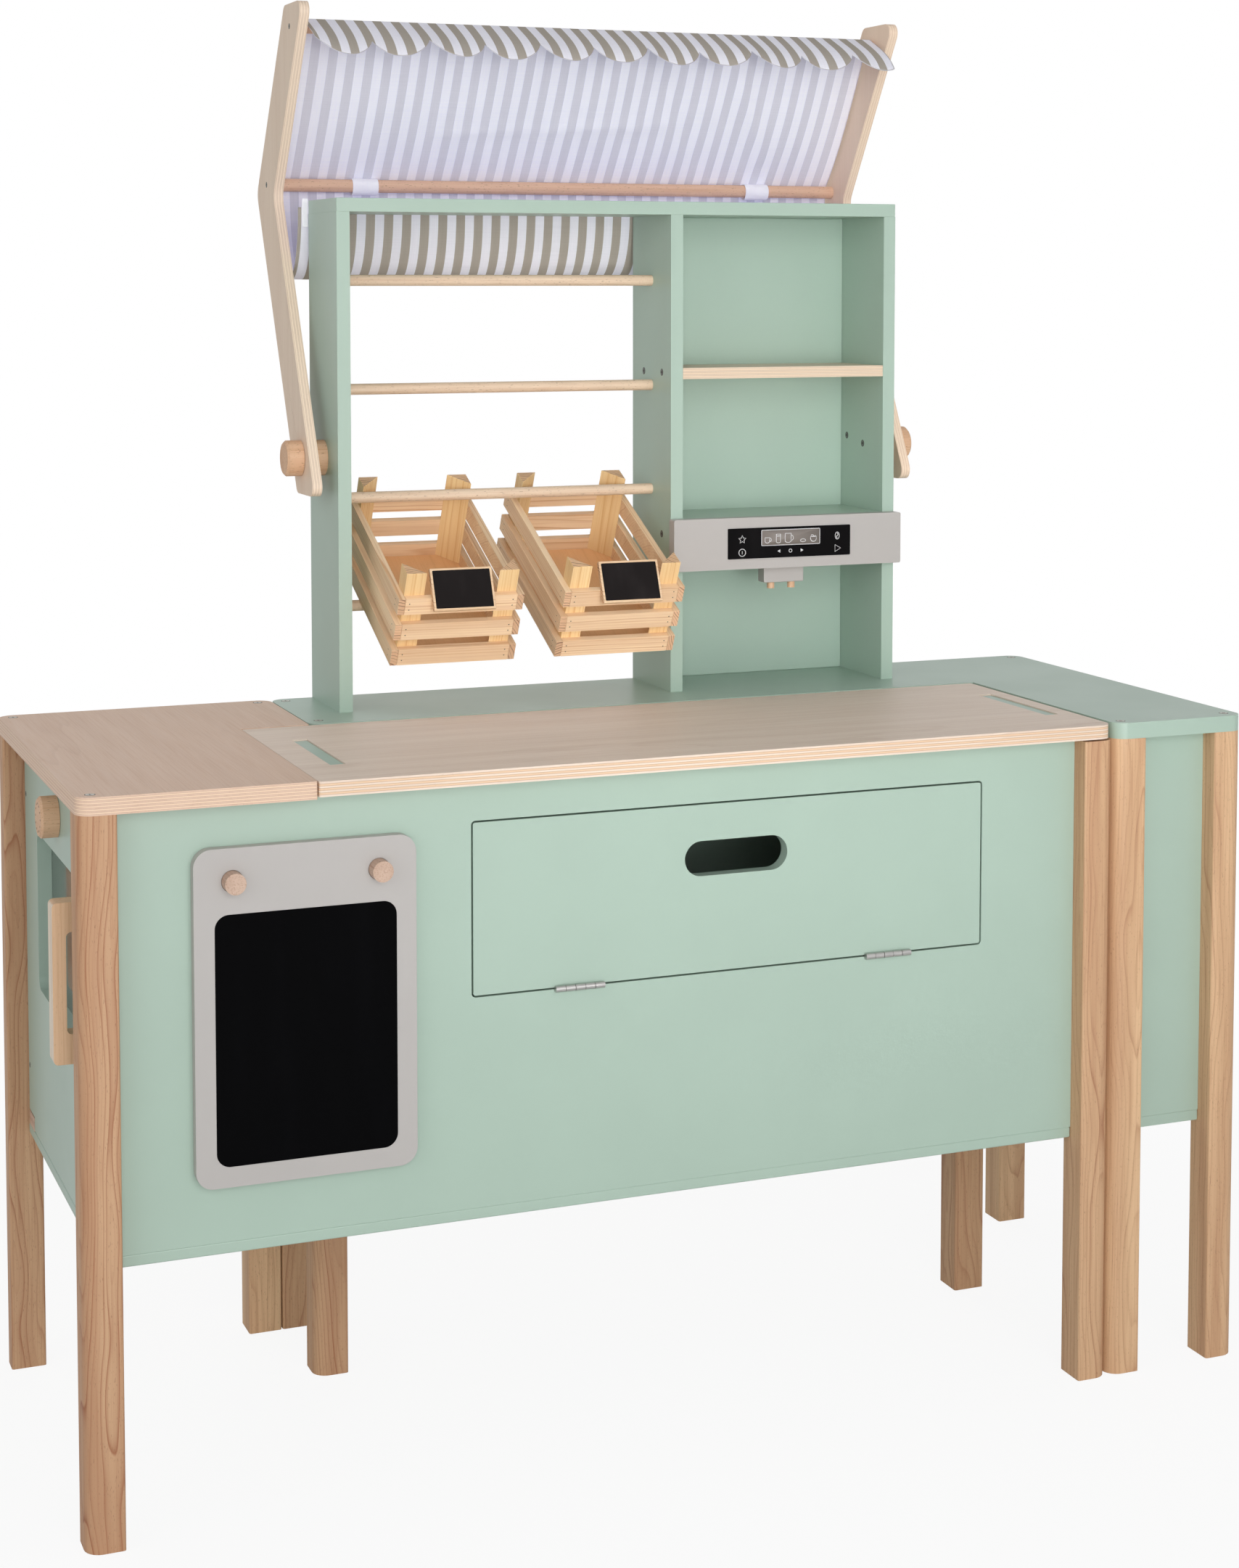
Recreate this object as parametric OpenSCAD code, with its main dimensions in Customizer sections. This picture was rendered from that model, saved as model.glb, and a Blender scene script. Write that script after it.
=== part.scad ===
// Toy market stall: two nested L-shaped counters with an oven end, a shelf, an awning and crates.
// Drawn from the floor under the front left leg: x along the front, y to the back, z up.

/* [Stall] */
// Width over both counters
stall_w = 1021; // [1000:1:1080]
// Depth of the counters
stall_d = 396; // [380:1:430]
// Height of the counter tops
counter_h = 576; // [540:1:620]
// Width of the rear counter's wing
wing_w = 130; // [110:1:160]
// Depth of the rear counter behind the front one
rear_d = 144; // [130:1:160]
// Width of the front counter's oven end
oven_w = 243; // [238:1:250]
// Gap between the two counters
unit_gap = 1; // [0.5:0.5:3]
// Height of the counters' panels
panel_h = 341.5; // [320:0.5:380]

/* [Boards and legs] */
// Side of a square leg
leg = 30; // [26:1:34]
// Radius of a leg's and a top's outer corner
leg_round = 13; // [6:1:14]
// Radius of the eased corners
ease = 2; // [1:0.5:4]
// Thickness of the lacquered panels
panel_t = 12; // [9:1:15]
// Thickness of the bottom boards
floor_t = 9; // [6:1:12]
// Thickness of the counter tops
top_t = 14; // [12:1:18]
// Thickness of the lift-off lid
lid_t = 12; // [9:1:14]
// Distance of the oven partition from the oven end's right side
partition_in = 32; // [31:1:40]
// Lap of the lid past the partition, over the oven
lid_lap = 28; // [20:1:40]
// Height at which the lid lies above the legs
lid_rise = 1.5; // [1:0.5:3]
// Gap round the lid
lid_gap = 1; // [0.5:0.5:2]
// Distance of the lid's locating tabs from its front and back edge
tab_y = 66; // [50:1:80]
// Gap round a tab in its slot
tab_gap = 0.5; // [0.3:0.1:1]

/* [Flap] */
// Distance of the flap from the right end panel
flap_in = 92; // [70:1:130]
// Height of the flap
flap_h = 138.5; // [110:0.5:150]
// Left edge of the flap
flap_x = 313; // [295:1:330]
// Distance of the flap below the counter top
flap_drop = 31.5; // [20:0.5:50]
// Gap round the flap
flap_gap = 1.5; // [1.2:0.1:2.5]
// Corner radius of the flap
flap_round = 2; // [1:0.5:12]
// Length of the hand slot
grip_l = 92; // [80:1:110]
// Height of the hand slot
grip_h = 29; // [22:1:32]
// Distance of the hand slot's middle from the flap's top
grip_drop = 44.5; // [30:0.5:60]
// Length of a hinge
hinge_l = 42; // [30:1:60]
// Distance of a hinge from the flap's end
hinge_in = 68; // [40:1:90]
// Radius of a hinge barrel
barrel_r = 2.6; // [2.2:0.1:4]
// Radius of a hinge pin
pin_r = 1.2; // [1:0.1:1.6]
// Knuckles of a hinge
knuckles = 5; // [3:2:7]
// Depth of a hinge leaf
leaf_d = 11; // [8:0.5:12]

/* [Chalkboard] */
// Width of the hanging chalkboard
chalk_w = 175.5; // [150:0.5:185]
// Height of the hanging chalkboard
chalk_h = 262; // [220:1:280]
// Thickness of the hanging chalkboard
chalk_t = 9; // [6:0.5:12]
// Left edge of the chalkboard
chalk_x = 88; // [75:1:100]
// Distance of the chalkboard below the counter top
chalk_drop = 34; // [20:1:60]
// Corner radius of the chalkboard
chalk_round = 14; // [6:1:20]
// Border beside and below the black face
chalk_border = 16; // [12:0.5:24]
// Border above the black face
chalk_head = 51; // [40:1:60]
// Corner radius of the black face
slate_round = 11; // [4:1:16]
// Thickness of the black face
slate_t = 1; // [0.5:0.5:2]
// Diameter of a peg
peg_d = 16.5; // [12:0.5:20]
// Distance between the pegs
peg_pitch = 115.5; // [90:0.5:130]
// Distance of the pegs from the board's top
peg_drop = 25.5; // [20:0.5:30]
// Length of a peg in front of the panel
peg_reach = 21; // [16:1:30]
// Depth to which a peg is let into the panel
peg_seat = 7; // [4:1:8]

/* [Oven door] */
// Distance of the hinge pins from the back leg
door_pin_in = 11; // [10:0.5:15]
// Gap between the door and the front leg
door_gap = 2; // [2:0.5:4]
// Gap between the door and the back leg
door_back_gap = 4; // [3.5:0.5:5]
// Gap above and below the door
door_play = 1.5; // [1:0.5:3]
// Radius of a door pin
door_pin_r = 3; // [2:0.5:4]
// Length of a door pin inside the door
door_pin_in_l = 20; // [10:1:30]
// Depth to which a pin goes into the top and the pivot block
door_pin_seat = 6; // [4:0.5:8]
// Length of the pivot block under the door's back corner
pivot_block_l = 26; // [22:1:34]
// Height of the pivot block
pivot_block_h = 12; // [10:1:18]
// Width of the door beside the window
window_in = 62; // [50:1:75]
// Height of the window
window_h = 134; // [110:1:150]
// Distance of the window below the counter top
window_drop = 71; // [62:1:90]
// Corner radius of the window
window_round = 10; // [3:1:20]
// Lap of the pane behind the door
pane_lap = 10; // [6:1:15]
// Thickness of the pane
pane_t = 2; // [1.5:0.5:3]
// Height of the handle
handle_h = 125; // [100:1:140]
// Thickness of the handle
handle_t = 18; // [12:1:22]
// Reach of the handle in front of the door
handle_reach = 28.5; // [22:0.5:35]
// Width of the handle's bar
handle_bar = 10.5; // [8:0.5:14]
// Height of the handle's feet
handle_foot = 23; // [15:1:30]
// Distance of the handle's middle from the door's front edge
handle_in = 31; // [22:1:36]
// Diameter of the dial knob
dial_d = 34; // [28:1:40]
// Thickness of the dial knob
dial_t = 15; // [10:1:20]
// Distance of the dial knob's middle below the counter top
dial_drop = 38; // [30:1:45]
// Radius of the dial's shaft
dial_shaft_r = 4; // [3:0.5:5]

/* [Shelf] */
// Distance of the shelf from the rear counter's left end
shelf_in = 40; // [32:1:60]
// Depth of the shelf
shelf_d = 94; // [80:1:110]
// Height of the shelf
shelf_h = 453; // [420:1:480]
// Clear width of the rod bay
rod_bay_w = 304.5; // [290:0.5:320]
// Clear width of the machine bay
machine_bay_w = 206.5; // [190:0.5:225]
// Thickness of the shelf's back
back_t = 5; // [3:1:6]
// Thickness of the plywood shelf board
shelf_board_t = 10.5; // [8:0.5:14]
// Height of the plywood shelf board's top
shelf_board_z = 300.5; // [285:0.5:330]
// Diameter of a hanging rod
rod_d = 10; // [8:1:12]
// Height of the lowest rod above the counter
rod_z = 88.5; // [80:0.5:100]
// Distance between the rods
rod_pitch = 97.5; // [92:0.5:102]
// Rods in the bay
rods = 4; // [4:1:4]
// Distance of the rods from the shelf's front
rod_in = 48; // [42:1:52]
// Depth to which a rod is let into a side
rod_seat = 6; // [3:1:8]

/* [Machine] */
// Height of the machine shelf's top above the counter
machine_z = 161; // [150:1:180]
// Height of the machine front
machine_h = 48; // [40:1:60]
// Overhang of the machine front past the bay's outer faces
machine_over = 1.5; // [0:0.5:4]
// Width of the display
display_w = 126; // [100:1:150]
// Height of the display
display_h = 28.5; // [20:0.5:34]
// Thickness of the display
display_t = 0.8; // [0.5:0.1:2]
// Width of the spout block
spout_w = 41; // [30:1:50]
// Depth of the spout block
spout_d = 13; // [10:1:20]
// Drop of the spout block below the machine front
spout_drop = 15; // [8:1:20]
// Diameter of a nozzle
nozzle_d = 7; // [5:0.5:9]
// Length of a nozzle below the spout block
nozzle_l = 6; // [3:1:10]
// Distance between the nozzles
nozzle_pitch = 21; // [14:1:26]

/* [Awning] */
// Height of the pivot above the counter
pivot_z = 223; // [210:1:235]
// Distance of the pivot from the shelf's back
pivot_in = 46.5; // [40:0.5:52]
// Width of an arm
arm_w = 53; // [44:1:58]
// Thickness of an arm
arm_t = 9; // [6:1:12]
// Length of an arm below the pivot
arm_tail = 32; // [26:1:40]
// Height of the arm's bend above the pivot
bend_z = 237; // [225:1:250]
// Distance of the arm's bend behind the pivot
bend_y = 122; // [112:1:130]
// Height of the arm's end above the bend
arm_end_z = 167; // [150:1:180]
// Distance of the arm's end in front of the bend
arm_end_y = 107; // [95:1:115]
// Radius of the arm's end corners
arm_round = 9; // [4:1:14]
// Radius of the arm's outer bend
bend_round = 16; // [6:1:24]
// Distance of the top rod from the arm's end
top_rod_in = 20; // [16:1:30]
// Diameter of the awning rods
awning_rod_d = 12; // [10:0.5:14]
// Thickness of a spacer
spacer_t = 12; // [8:1:16]
// Diameter of a spacer and a clamping knob
knob_d = 32; // [26:1:38]
// Thickness of a clamping knob
knob_t = 15; // [10:1:20]
// Radius of a pivot bolt
bolt_r = 3; // [2:0.5:4]
// Depth to which a pivot bolt goes into the shelf's side
bolt_seat = 9; // [6:1:10]
// Thickness of the cloth
cloth_t = 1.2; // [0.8:0.1:2]
// Gap between the cloth and each arm
cloth_side = 3; // [1:0.5:8]
// Scallops of the valance
scallops = 11; // [7:1:13]
// Length of the valance along the cloth
valance_l = 64; // [50:1:80]
// Slope of the valance below level where it leaves the top rod
valance_fall = 24; // [15:1:40]
// Slope of the valance at its lower edge
valance_hang = 58; // [45:1:80]
// Drop of the scallops below their notches
scallop_drop = 14; // [8:1:18]
// Sag of the roof cloth between its rods
roof_sag = 6; // [2:1:10]
// Depth of the slack loop below the shelf's top
slack_drop = 68; // [50:1:80]
// Width of a rod strap
strap_w = 25; // [18:1:35]
// Thickness of a rod strap
strap_t = 0.8; // [0.6:0.1:1.5]
// Distance of the rod straps from the arms
strap_in = 72; // [50:1:100]

/* [Crates] */
// Width of a crate
crate_w = 114; // [104:1:124]
// Length of a crate
crate_l = 178; // [160:1:190]
// Height of a slat
slat_h = 16; // [13:1:17]
// Thickness of a slat
slat_t = 6; // [4:0.5:8]
// Gap between slats
slat_gap = 10; // [7:0.5:11]
// Slats up a side
slats = 3; // [3:1:3]
// Side of a corner post
post_w = 18; // [14:1:22]
// Height of a corner post
post_h = 90; // [86:1:100]
// Thickness of a crate's floor
crate_floor_t = 4; // [3:0.5:6]
// Slope of a crate on the rods
crate_tilt = 26; // [20:1:30]
// Distance between the crates' middles
crate_pitch = 152; // [146:1:160]
// Width of a price board
price_w = 56; // [44:1:66]
// Height of a price board
price_h = 38; // [30:1:44]
// Thickness of a price board
price_t = 4; // [3:0.5:5]
// Lean of a price board behind the crate's front
price_lean = 48; // [35:1:55]
// Width of a price board's clip foot
clip_w = 20; // [12:1:30]
// Shift of the right crate's price board to the right
price_shift = 4; // [0:0.5:5]

/* [Fits] */
// Gap between pieces that move past each other
play = 0.3; // [0.2:0.05:0.5]
// Radial clearance of a pin that turns in its hole
turn_fit = 0.05; // [0.03:0.01:0.08]
// Gap between slats that meet at a corner
nail_gap = 0.2; // [0.1:0.05:0.4]

/* [Hidden] */
$fn = 32;
MINT = "#b4cdbb";
PLY = "#d9bfa4";
PINE = "#d8ac7c";
BEECH = "#dcb695";
GREY = "#bdb6b1";
SLATE = "#121212";
STEEL = "#b8bcc0";
CLEAR = "#cfe3e6";
CLOTH = "#c9c4c0";
WHITE = "#f0f0f2";
eps = 0.01;
// Lift of a cut past the face that it opens
over = 1;
// Heights of the boxes
inset = leg - panel_t;
leg_top = counter_h - top_t;
box_z = leg_top - panel_h;
skirt_z = box_z - floor_t;
lid_z = leg_top + lid_rise;
// Places of the two counters
front_w = stall_w - wing_w - unit_gap;
front_d = stall_d - rear_d - unit_gap;
rear_x = oven_w + unit_gap;
rear_y = front_d + unit_gap;
wing_x = front_w + unit_gap;
// Places of the partition, the right end panel and the lid
partition_x = oven_w - partition_in;
oven_top_w = partition_x - lid_lap;
end_x = front_w - leg;
tab_l = front_d - 2 * tab_y;
// Flap and its hinges
flap_w = end_x - flap_in - flap_x;
flap_z = leg_top - flap_drop - flap_h;
hinge_pitch = flap_w - 2 * hinge_in - hinge_l;
flap_mid = flap_x + flap_w / 2;
axis_y = inset - barrel_r - play;
axis_z = flap_z - flap_gap / 2;
leaf_t = (flap_gap - play) / 2;
knuckle_l = hinge_l / knuckles;
// Chalkboard
chalk_y = inset - play - chalk_t;
chalk_top = leg_top - chalk_drop;
peg_x = chalk_x + (chalk_w - peg_pitch) / 2;
peg_z = chalk_top - peg_drop;
// Oven door
door_y0 = leg + door_gap;
door_y1 = stall_d - leg - door_back_gap;
door_z0 = box_z + door_play;
door_z1 = leg_top - door_play;
// Underside of the door above its pivot block
door_low = box_z + pivot_block_h + door_play;
door_pin_x = inset + panel_t / 2;
door_pin_y = stall_d - leg - door_pin_in;
door_mid_y = (door_y0 + door_y1) / 2;
window_w = door_y1 - door_y0 - 2 * window_in;
window_z = leg_top - window_drop - window_h;
dial_z = leg_top - dial_drop;
handle_y = door_y0 + handle_in;
handle_z = window_z + window_h / 2 - handle_h / 2;
// Shelf
shelf_x0 = rear_x + shelf_in;
divider_x = shelf_x0 + panel_t + rod_bay_w;
right_x = divider_x + panel_t + machine_bay_w;
shelf_x1 = right_x + panel_t;
shelf_y0 = stall_d - shelf_d;
shelf_z1 = counter_h + shelf_h;
back_y = stall_d - back_t - over;
rod_y = shelf_y0 + rod_in;
rod_r = rod_d / 2;
// Machine
machine_top = counter_h + machine_z;
machine_y = shelf_y0 - panel_t;
machine_mid = (divider_x + shelf_x1) / 2;
machine_mid_z = machine_top - machine_h / 2;
// Awning
pivot = [stall_d - pivot_in, counter_h + pivot_z];
bend = pivot + [bend_y, bend_z];
arm_end = bend + [-arm_end_y, arm_end_z];
arm_foot = pivot - arm_tail / bend_z * [bend_y, bend_z];
arm_lx = shelf_x0 - spacer_t - play - arm_t;
arm_rx = shelf_x1 + spacer_t + play;
awning_r = awning_rod_d / 2;
up_dir = (arm_end - bend) / norm(arm_end - bend);
up_back = [up_dir[1], -up_dir[0]];
mid_rod = bend + [-awning_r, awning_r + leg_round / 4];
top_rod = arm_end - top_rod_in / up_dir[1] * up_dir;
cloth_x0 = arm_lx + arm_t + cloth_side;
cloth_x1 = arm_rx - cloth_side;
scallop_w = (cloth_x1 - cloth_x0) / scallops;
wrap_r = awning_r + play + cloth_t / 2;
mid_wrap_r = awning_r + strap_t + 2 * play + cloth_t / 2;
// Crates
crate_h = slats * slat_h + (slats - 1) * slat_gap;
along = [cos(crate_tilt), sin(crate_tilt)];
normal = [-sin(crate_tilt), cos(crate_tilt)];
low_rod = [rod_y, counter_h + rod_z];
// How far the crate's front lies from the lowest rod, with the rear posts held behind the rod above it
front_to_rod = crate_l - slat_t - post_w - rod_r - play - rod_pitch * sin(crate_tilt);
crate_at = low_rod - front_to_rod * along + (rod_r + play) * normal;
bay_mid = shelf_x0 + panel_t + rod_bay_w / 2;

// Drawing helpers

// Points of an outline with each corner replaced by an arc
function arc_corner(a, p, b, r, steps) =
    let (u = (a - p) / norm(a - p), v = (b - p) / norm(b - p), half = acos(u * v) / 2,
        mid = p + (u + v) / norm(u + v) * r / sin(half), turn = 180 - 2 * half,
        from = p + u * r / tan(half) - mid, to = p + v * r / tan(half) - mid)
    [for (i = [0:steps]) mid + (sin(turn * (1 - i / steps)) * from + sin(turn * i / steps) * to) / sin(turn)];
function round_outline(pts, radii, steps = 6) =
    [for (i = [0:len(pts) - 1]) each radii[i] == 0 ? [pts[i]]
        : arc_corner(pts[(i + len(pts) - 1) % len(pts)], pts[i], pts[(i + 1) % len(pts)], radii[i], steps)];
// Unit normal of a path at one of its points
function path_normal(path, i) =
    let (d = path[min(i + 1, len(path) - 1)] - path[max(i - 1, 0)]) [-d[1], d[0]] / norm(d);
// Outline of a sheet of even thickness that follows a path
function ribbon(path, t) = concat(
    [for (i = [0:len(path) - 1]) path[i] + path_normal(path, i) * t / 2],
    [for (i = [len(path) - 1:-1:0]) path[i] - path_normal(path, i) * t / 2]);
function bezier(a, b, c, d, t) =
    pow(1 - t, 3) * a + 3 * pow(1 - t, 2) * t * b + 3 * (1 - t) * t * t * c + t * t * t * d;

module block(from, to) translate(from) cube(to - from);
// Plan of a board, with the radii of its corners counted from the front left
module plan(from, to, r) {
    polygon([[from[0] + r[0], from[1]], [to[0] - r[1], from[1]], [to[0], from[1] + r[1]],
        [to[0], to[1] - r[2]], [to[0] - r[2], to[1]], [from[0] + r[3], to[1]],
        [from[0], to[1] - r[3]], [from[0], from[1] + r[0]]]);
    translate([from[0] + r[0], from[1] + r[0]]) circle(r[0]);
    translate([to[0] - r[1], from[1] + r[1]]) circle(r[1]);
    translate([to[0] - r[2], to[1] - r[2]]) circle(r[2]);
    translate([from[0] + r[3], to[1] - r[3]]) circle(r[3]);
}
module even_plan(from, to, r) plan(from, to, [r, r, r, r]);
module slot_plan(mid, l, h) {
    translate(mid) square([l - h, h], center = true);
    for (side = [-1, 1]) translate(mid + [side * (l - h) / 2, 0]) circle(h / 2);
}
// A drawing in x and z, carried from y0 to y1
module along_y(y0, y1) translate([0, y1, 0]) rotate([90, 0, 0]) linear_extrude(y1 - y0) children();
// A drawing in y and z, carried from x0 to x1
module along_x(x0, x1) translate([x0, 0, 0]) rotate([90, 0, 90]) linear_extrude(x1 - x0) children();
module along_z(z0, z1) translate([0, 0, z0]) linear_extrude(z1 - z0) children();
module round_x(x0, x1, at, r) translate([x0, at[0], at[1]]) rotate([0, 90, 0]) cylinder(h = x1 - x0, r = r);
module round_y(y0, y1, at, r) translate([at[0], y1, at[1]]) rotate([90, 0, 0]) cylinder(h = y1 - y0, r = r);
module round_z(z0, z1, at, r) translate([at[0], at[1], z0]) cylinder(h = z1 - z0, r = r);

// Front counter

FRONT_LEGS = [[[0, 0], 0], [[0, stall_d - leg], 3], [[oven_w - leg, stall_d - leg], 2],
    [[front_w - leg, 0], 1], [[front_w - leg, front_d - leg], 2]];
REAR_LEGS = [[[rear_x, rear_y], 0], [[rear_x, stall_d - leg], 3], [[wing_x, 0], 0],
    [[stall_w - leg, 0], 1], [[stall_w - leg, stall_d - leg], 2]];
module legs(places) {
    for (place = places) {
        along_z(0, leg_top)
            plan(place[0], place[0] + [leg, leg], [for (i = [0:3]) i == place[1] ? leg_round : ease]);
    }
}
module leg_notches(places, z0, z1) {
    for (place = places) along_z(z0, z1) translate(place[0]) square(leg);
}
module front_legs() color(PINE) legs(FRONT_LEGS);
module front_panel() color(MINT) difference() {
    block([leg, inset, box_z], [front_w - leg, leg, leg_top]);
    along_y(inset - over, leg + over)
        even_plan([flap_x - flap_gap, flap_z - flap_gap],
            [flap_x + flap_w + flap_gap, flap_z + flap_h + flap_gap], flap_round + flap_gap);
    for (i = [0, 1]) {
        round_y(inset - over, inset + peg_seat, [peg_x + i * peg_pitch, peg_z], peg_d / 2 + turn_fit);
    }
}
// Upright edge of a panel that carries the lid, with its tab
module lid_edge(y0, y1) {
    polygon([[y0, box_z], [y1, box_z], [y1, lid_z], [tab_y + tab_l, lid_z],
        [tab_y + tab_l, lid_z + lid_t - over], [tab_y, lid_z + lid_t - over], [tab_y, lid_z], [y0, lid_z]]);
}
module oven_partition() color(MINT) along_x(partition_x, partition_x + panel_t) {
    lid_edge(leg, front_d);
    translate([front_d - eps, box_z]) square([stall_d - leg - front_d + eps, leg_top - box_z]);
}
module right_end_panel() color(MINT) along_x(end_x, end_x + panel_t) lid_edge(leg, front_d - leg);
module front_back_panel() color(MINT)
    block([partition_x + panel_t, front_d - leg, box_z], [end_x, front_d - inset, leg_top]);
module oven_back_panel() color(MINT)
    block([leg, stall_d - leg, box_z], [oven_w - leg, stall_d - inset, leg_top]);
module front_floor() color(MINT) difference() {
    along_z(skirt_z, box_z) {
        translate([inset, inset]) square([front_w - 2 * inset, front_d - 2 * inset]);
        translate([inset, inset]) square([oven_w - 2 * inset, stall_d - 2 * inset]);
    }
    leg_notches(FRONT_LEGS, skirt_z - over, box_z + over);
}
module counter_top() color(PLY) difference() {
    along_z(leg_top, counter_h) {
        plan([0, 0], [oven_top_w, stall_d], [leg_round, ease, ease, leg_round]);
        plan([0, rear_y], [oven_w, stall_d], [ease, ease, leg_round, leg_round]);
    }
    round_z(leg_top - over, leg_top + door_pin_seat + play, [door_pin_x, door_pin_y], door_pin_r + turn_fit);
}
module counter_lid() color(PLY) along_z(lid_z, lid_z + lid_t) difference() {
    plan([oven_top_w + lid_gap, 0], [front_w - 2 * lid_gap, rear_y - lid_gap], [ease, leg_round, ease, ease]);
    for (x = [partition_x, end_x]) {
        translate([x - tab_gap, tab_y - tab_gap]) square([panel_t + 2 * tab_gap, tab_l + 2 * tab_gap]);
    }
}

// Flap and hinges

module flap() color(MINT) along_y(inset, leg) difference() {
    even_plan([flap_x, flap_z], [flap_x + flap_w, flap_z + flap_h], flap_round);
    slot_plan([flap_mid, flap_z + flap_h - grip_drop], grip_l, grip_h);
}
module each_hinge() {
    for (side = [-1, 1]) translate([flap_mid + side * hinge_pitch / 2 - hinge_l / 2, 0, 0]) children();
}
// Every second knuckle and the leaf that it is rolled from
module leaf(first, z0, z1) {
    for (i = [first:2:knuckles - 1]) {
        x0 = i * knuckle_l + (i == 0 ? 0 : play / 2);
        x1 = (i + 1) * knuckle_l - (i == knuckles - 1 ? 0 : play / 2);
        round_x(x0, x1, [axis_y, axis_z], barrel_r);
        block([x0, axis_y, z0], [x1, inset + play + over, z1]);
    }
    block([0, inset + play, z0], [hinge_l, inset + leaf_d, z1]);
}
module hinge_fixed_leaves() color(STEEL) each_hinge() {
    leaf(0, flap_z - flap_gap, flap_z - flap_gap + leaf_t);
    round_x(0, hinge_l, [axis_y, axis_z], pin_r);
}
module hinge_flap_leaves() color(STEEL) each_hinge() difference() {
    leaf(1, flap_z - leaf_t, flap_z);
    round_x(-over, hinge_l + over, [axis_y, axis_z], pin_r + turn_fit);
}

// Hanging chalkboard

module chalkboard_pegs() color(BEECH) for (i = [0, 1]) {
    round_y(inset - peg_reach, inset + peg_seat, [peg_x + i * peg_pitch, peg_z], peg_d / 2);
}
module slate_plan() even_plan([chalk_x + chalk_border, chalk_top - chalk_h + chalk_border],
    [chalk_x + chalk_w - chalk_border, chalk_top - chalk_head], slate_round);
module chalkboard_frame() color(GREY) difference() {
    along_y(chalk_y, chalk_y + chalk_t)
        even_plan([chalk_x, chalk_top - chalk_h], [chalk_x + chalk_w, chalk_top], chalk_round);
    along_y(chalk_y - over, chalk_y + slate_t) slate_plan();
    for (i = [0, 1]) {
        round_y(chalk_y - over, inset + over, [peg_x + i * peg_pitch, peg_z], peg_d / 2 + play);
    }
}
module chalkboard_slate() color(SLATE) along_y(chalk_y, chalk_y + slate_t) slate_plan();

// Oven door

module window_plan(lap) even_plan([door_mid_y - window_w / 2 - lap, window_z - lap],
    [door_mid_y + window_w / 2 + lap, window_z + window_h + lap], window_round);
module door_pins(r, slack) {
    for (end = [[door_low - door_pin_seat - door_play, door_low + door_pin_in_l + slack],
            [door_z1 - door_pin_in_l - slack, door_z1 + door_pin_seat + door_play]]) {
        round_z(end[0], end[1], [door_pin_x, door_pin_y], r);
    }
}
module oven_door() color(MINT) difference() {
    block([inset, door_y0, door_z0], [leg, door_y1, door_z1]);
    along_x(inset - over, leg + over) window_plan(0);
    block([inset - over, door_y1 - pivot_block_l - door_play, door_z0 - over],
        [leg + over, door_y1 + over, door_low]);
    door_pins(door_pin_r + turn_fit, turn_fit);
    round_x(inset - over, leg + over, [door_mid_y, dial_z], dial_shaft_r + turn_fit);
}
module pivot_block() color(BEECH) difference() {
    block([inset, door_y1 - pivot_block_l, box_z], [leg, door_y1, box_z + pivot_block_h]);
    round_z(box_z + pivot_block_h - door_pin_seat - play, box_z + pivot_block_h + over,
        [door_pin_x, door_pin_y], door_pin_r + turn_fit);
}
module oven_window() color(CLEAR) along_x(leg, leg + pane_t) window_plan(pane_lap);
module oven_door_pins() color(STEEL) door_pins(door_pin_r, 0);
module oven_handle() color(BEECH) along_y(handle_y - handle_t / 2, handle_y + handle_t / 2)
    translate([inset, handle_z])
        polygon(round_outline([[0, 0], [-handle_reach, 0], [-handle_reach, handle_h], [0, handle_h],
            [0, handle_h - handle_foot], [handle_bar - handle_reach, handle_h - handle_foot],
            [handle_bar - handle_reach, handle_foot], [0, handle_foot]],
            [0, ease * 2, ease * 2, 0, 0, ease * 2, ease * 2, 0]));
// A turned knob with an eased rim and its shaft, from its face at zero along z
module turned_knob(d, t, shaft_r, shaft_l) rotate_extrude()
    polygon([[0, 0], [d / 2 - ease, 0], [d / 2, ease], [d / 2, t], [shaft_r, t], [shaft_r, t + shaft_l],
        [0, t + shaft_l]]);
module oven_knob() color(BEECH) translate([inset - play - dial_t, door_mid_y, dial_z])
    rotate([0, 90, 0]) turned_knob(dial_d, dial_t, dial_shaft_r, panel_t + play);

// Rear counter

module rear_legs() color(PINE) legs(REAR_LEGS);
module rear_top() color(MINT) along_z(leg_top, counter_h) {
    plan([rear_x, rear_y], [stall_w, stall_d], [leg_round, ease, leg_round, leg_round]);
    plan([wing_x, 0], [stall_w, stall_d], [leg_round, leg_round, leg_round, ease]);
}
module rear_floor() color(MINT) difference() {
    along_z(skirt_z, box_z) {
        translate([rear_x + inset, rear_y + inset])
            square([stall_w - rear_x - 2 * inset, stall_d - rear_y - 2 * inset]);
        translate([wing_x + inset, inset]) square([stall_w - wing_x - 2 * inset, stall_d - 2 * inset]);
    }
    leg_notches(REAR_LEGS, skirt_z - over, box_z + over);
}
module side_panel(from, to) color(MINT) block([from[0], from[1], box_z], [to[0], to[1], leg_top]);
module wing_front_panel() side_panel([wing_x + leg, inset], [stall_w - leg, leg]);
module wing_inner_panel() side_panel([wing_x + inset, leg], [wing_x + leg, rear_y + inset]);
module rear_front_panel() side_panel([rear_x + leg, rear_y + inset], [wing_x + leg, rear_y + leg]);
module right_side_panel() side_panel([stall_w - leg, leg], [stall_w - inset, stall_d - leg]);
module rear_left_panel() side_panel([rear_x + inset, rear_y + leg], [rear_x + leg, stall_d - leg]);
module rear_back_panel() side_panel([rear_x + leg, stall_d - leg], [stall_w - leg, stall_d - inset]);

// Shelf

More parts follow.
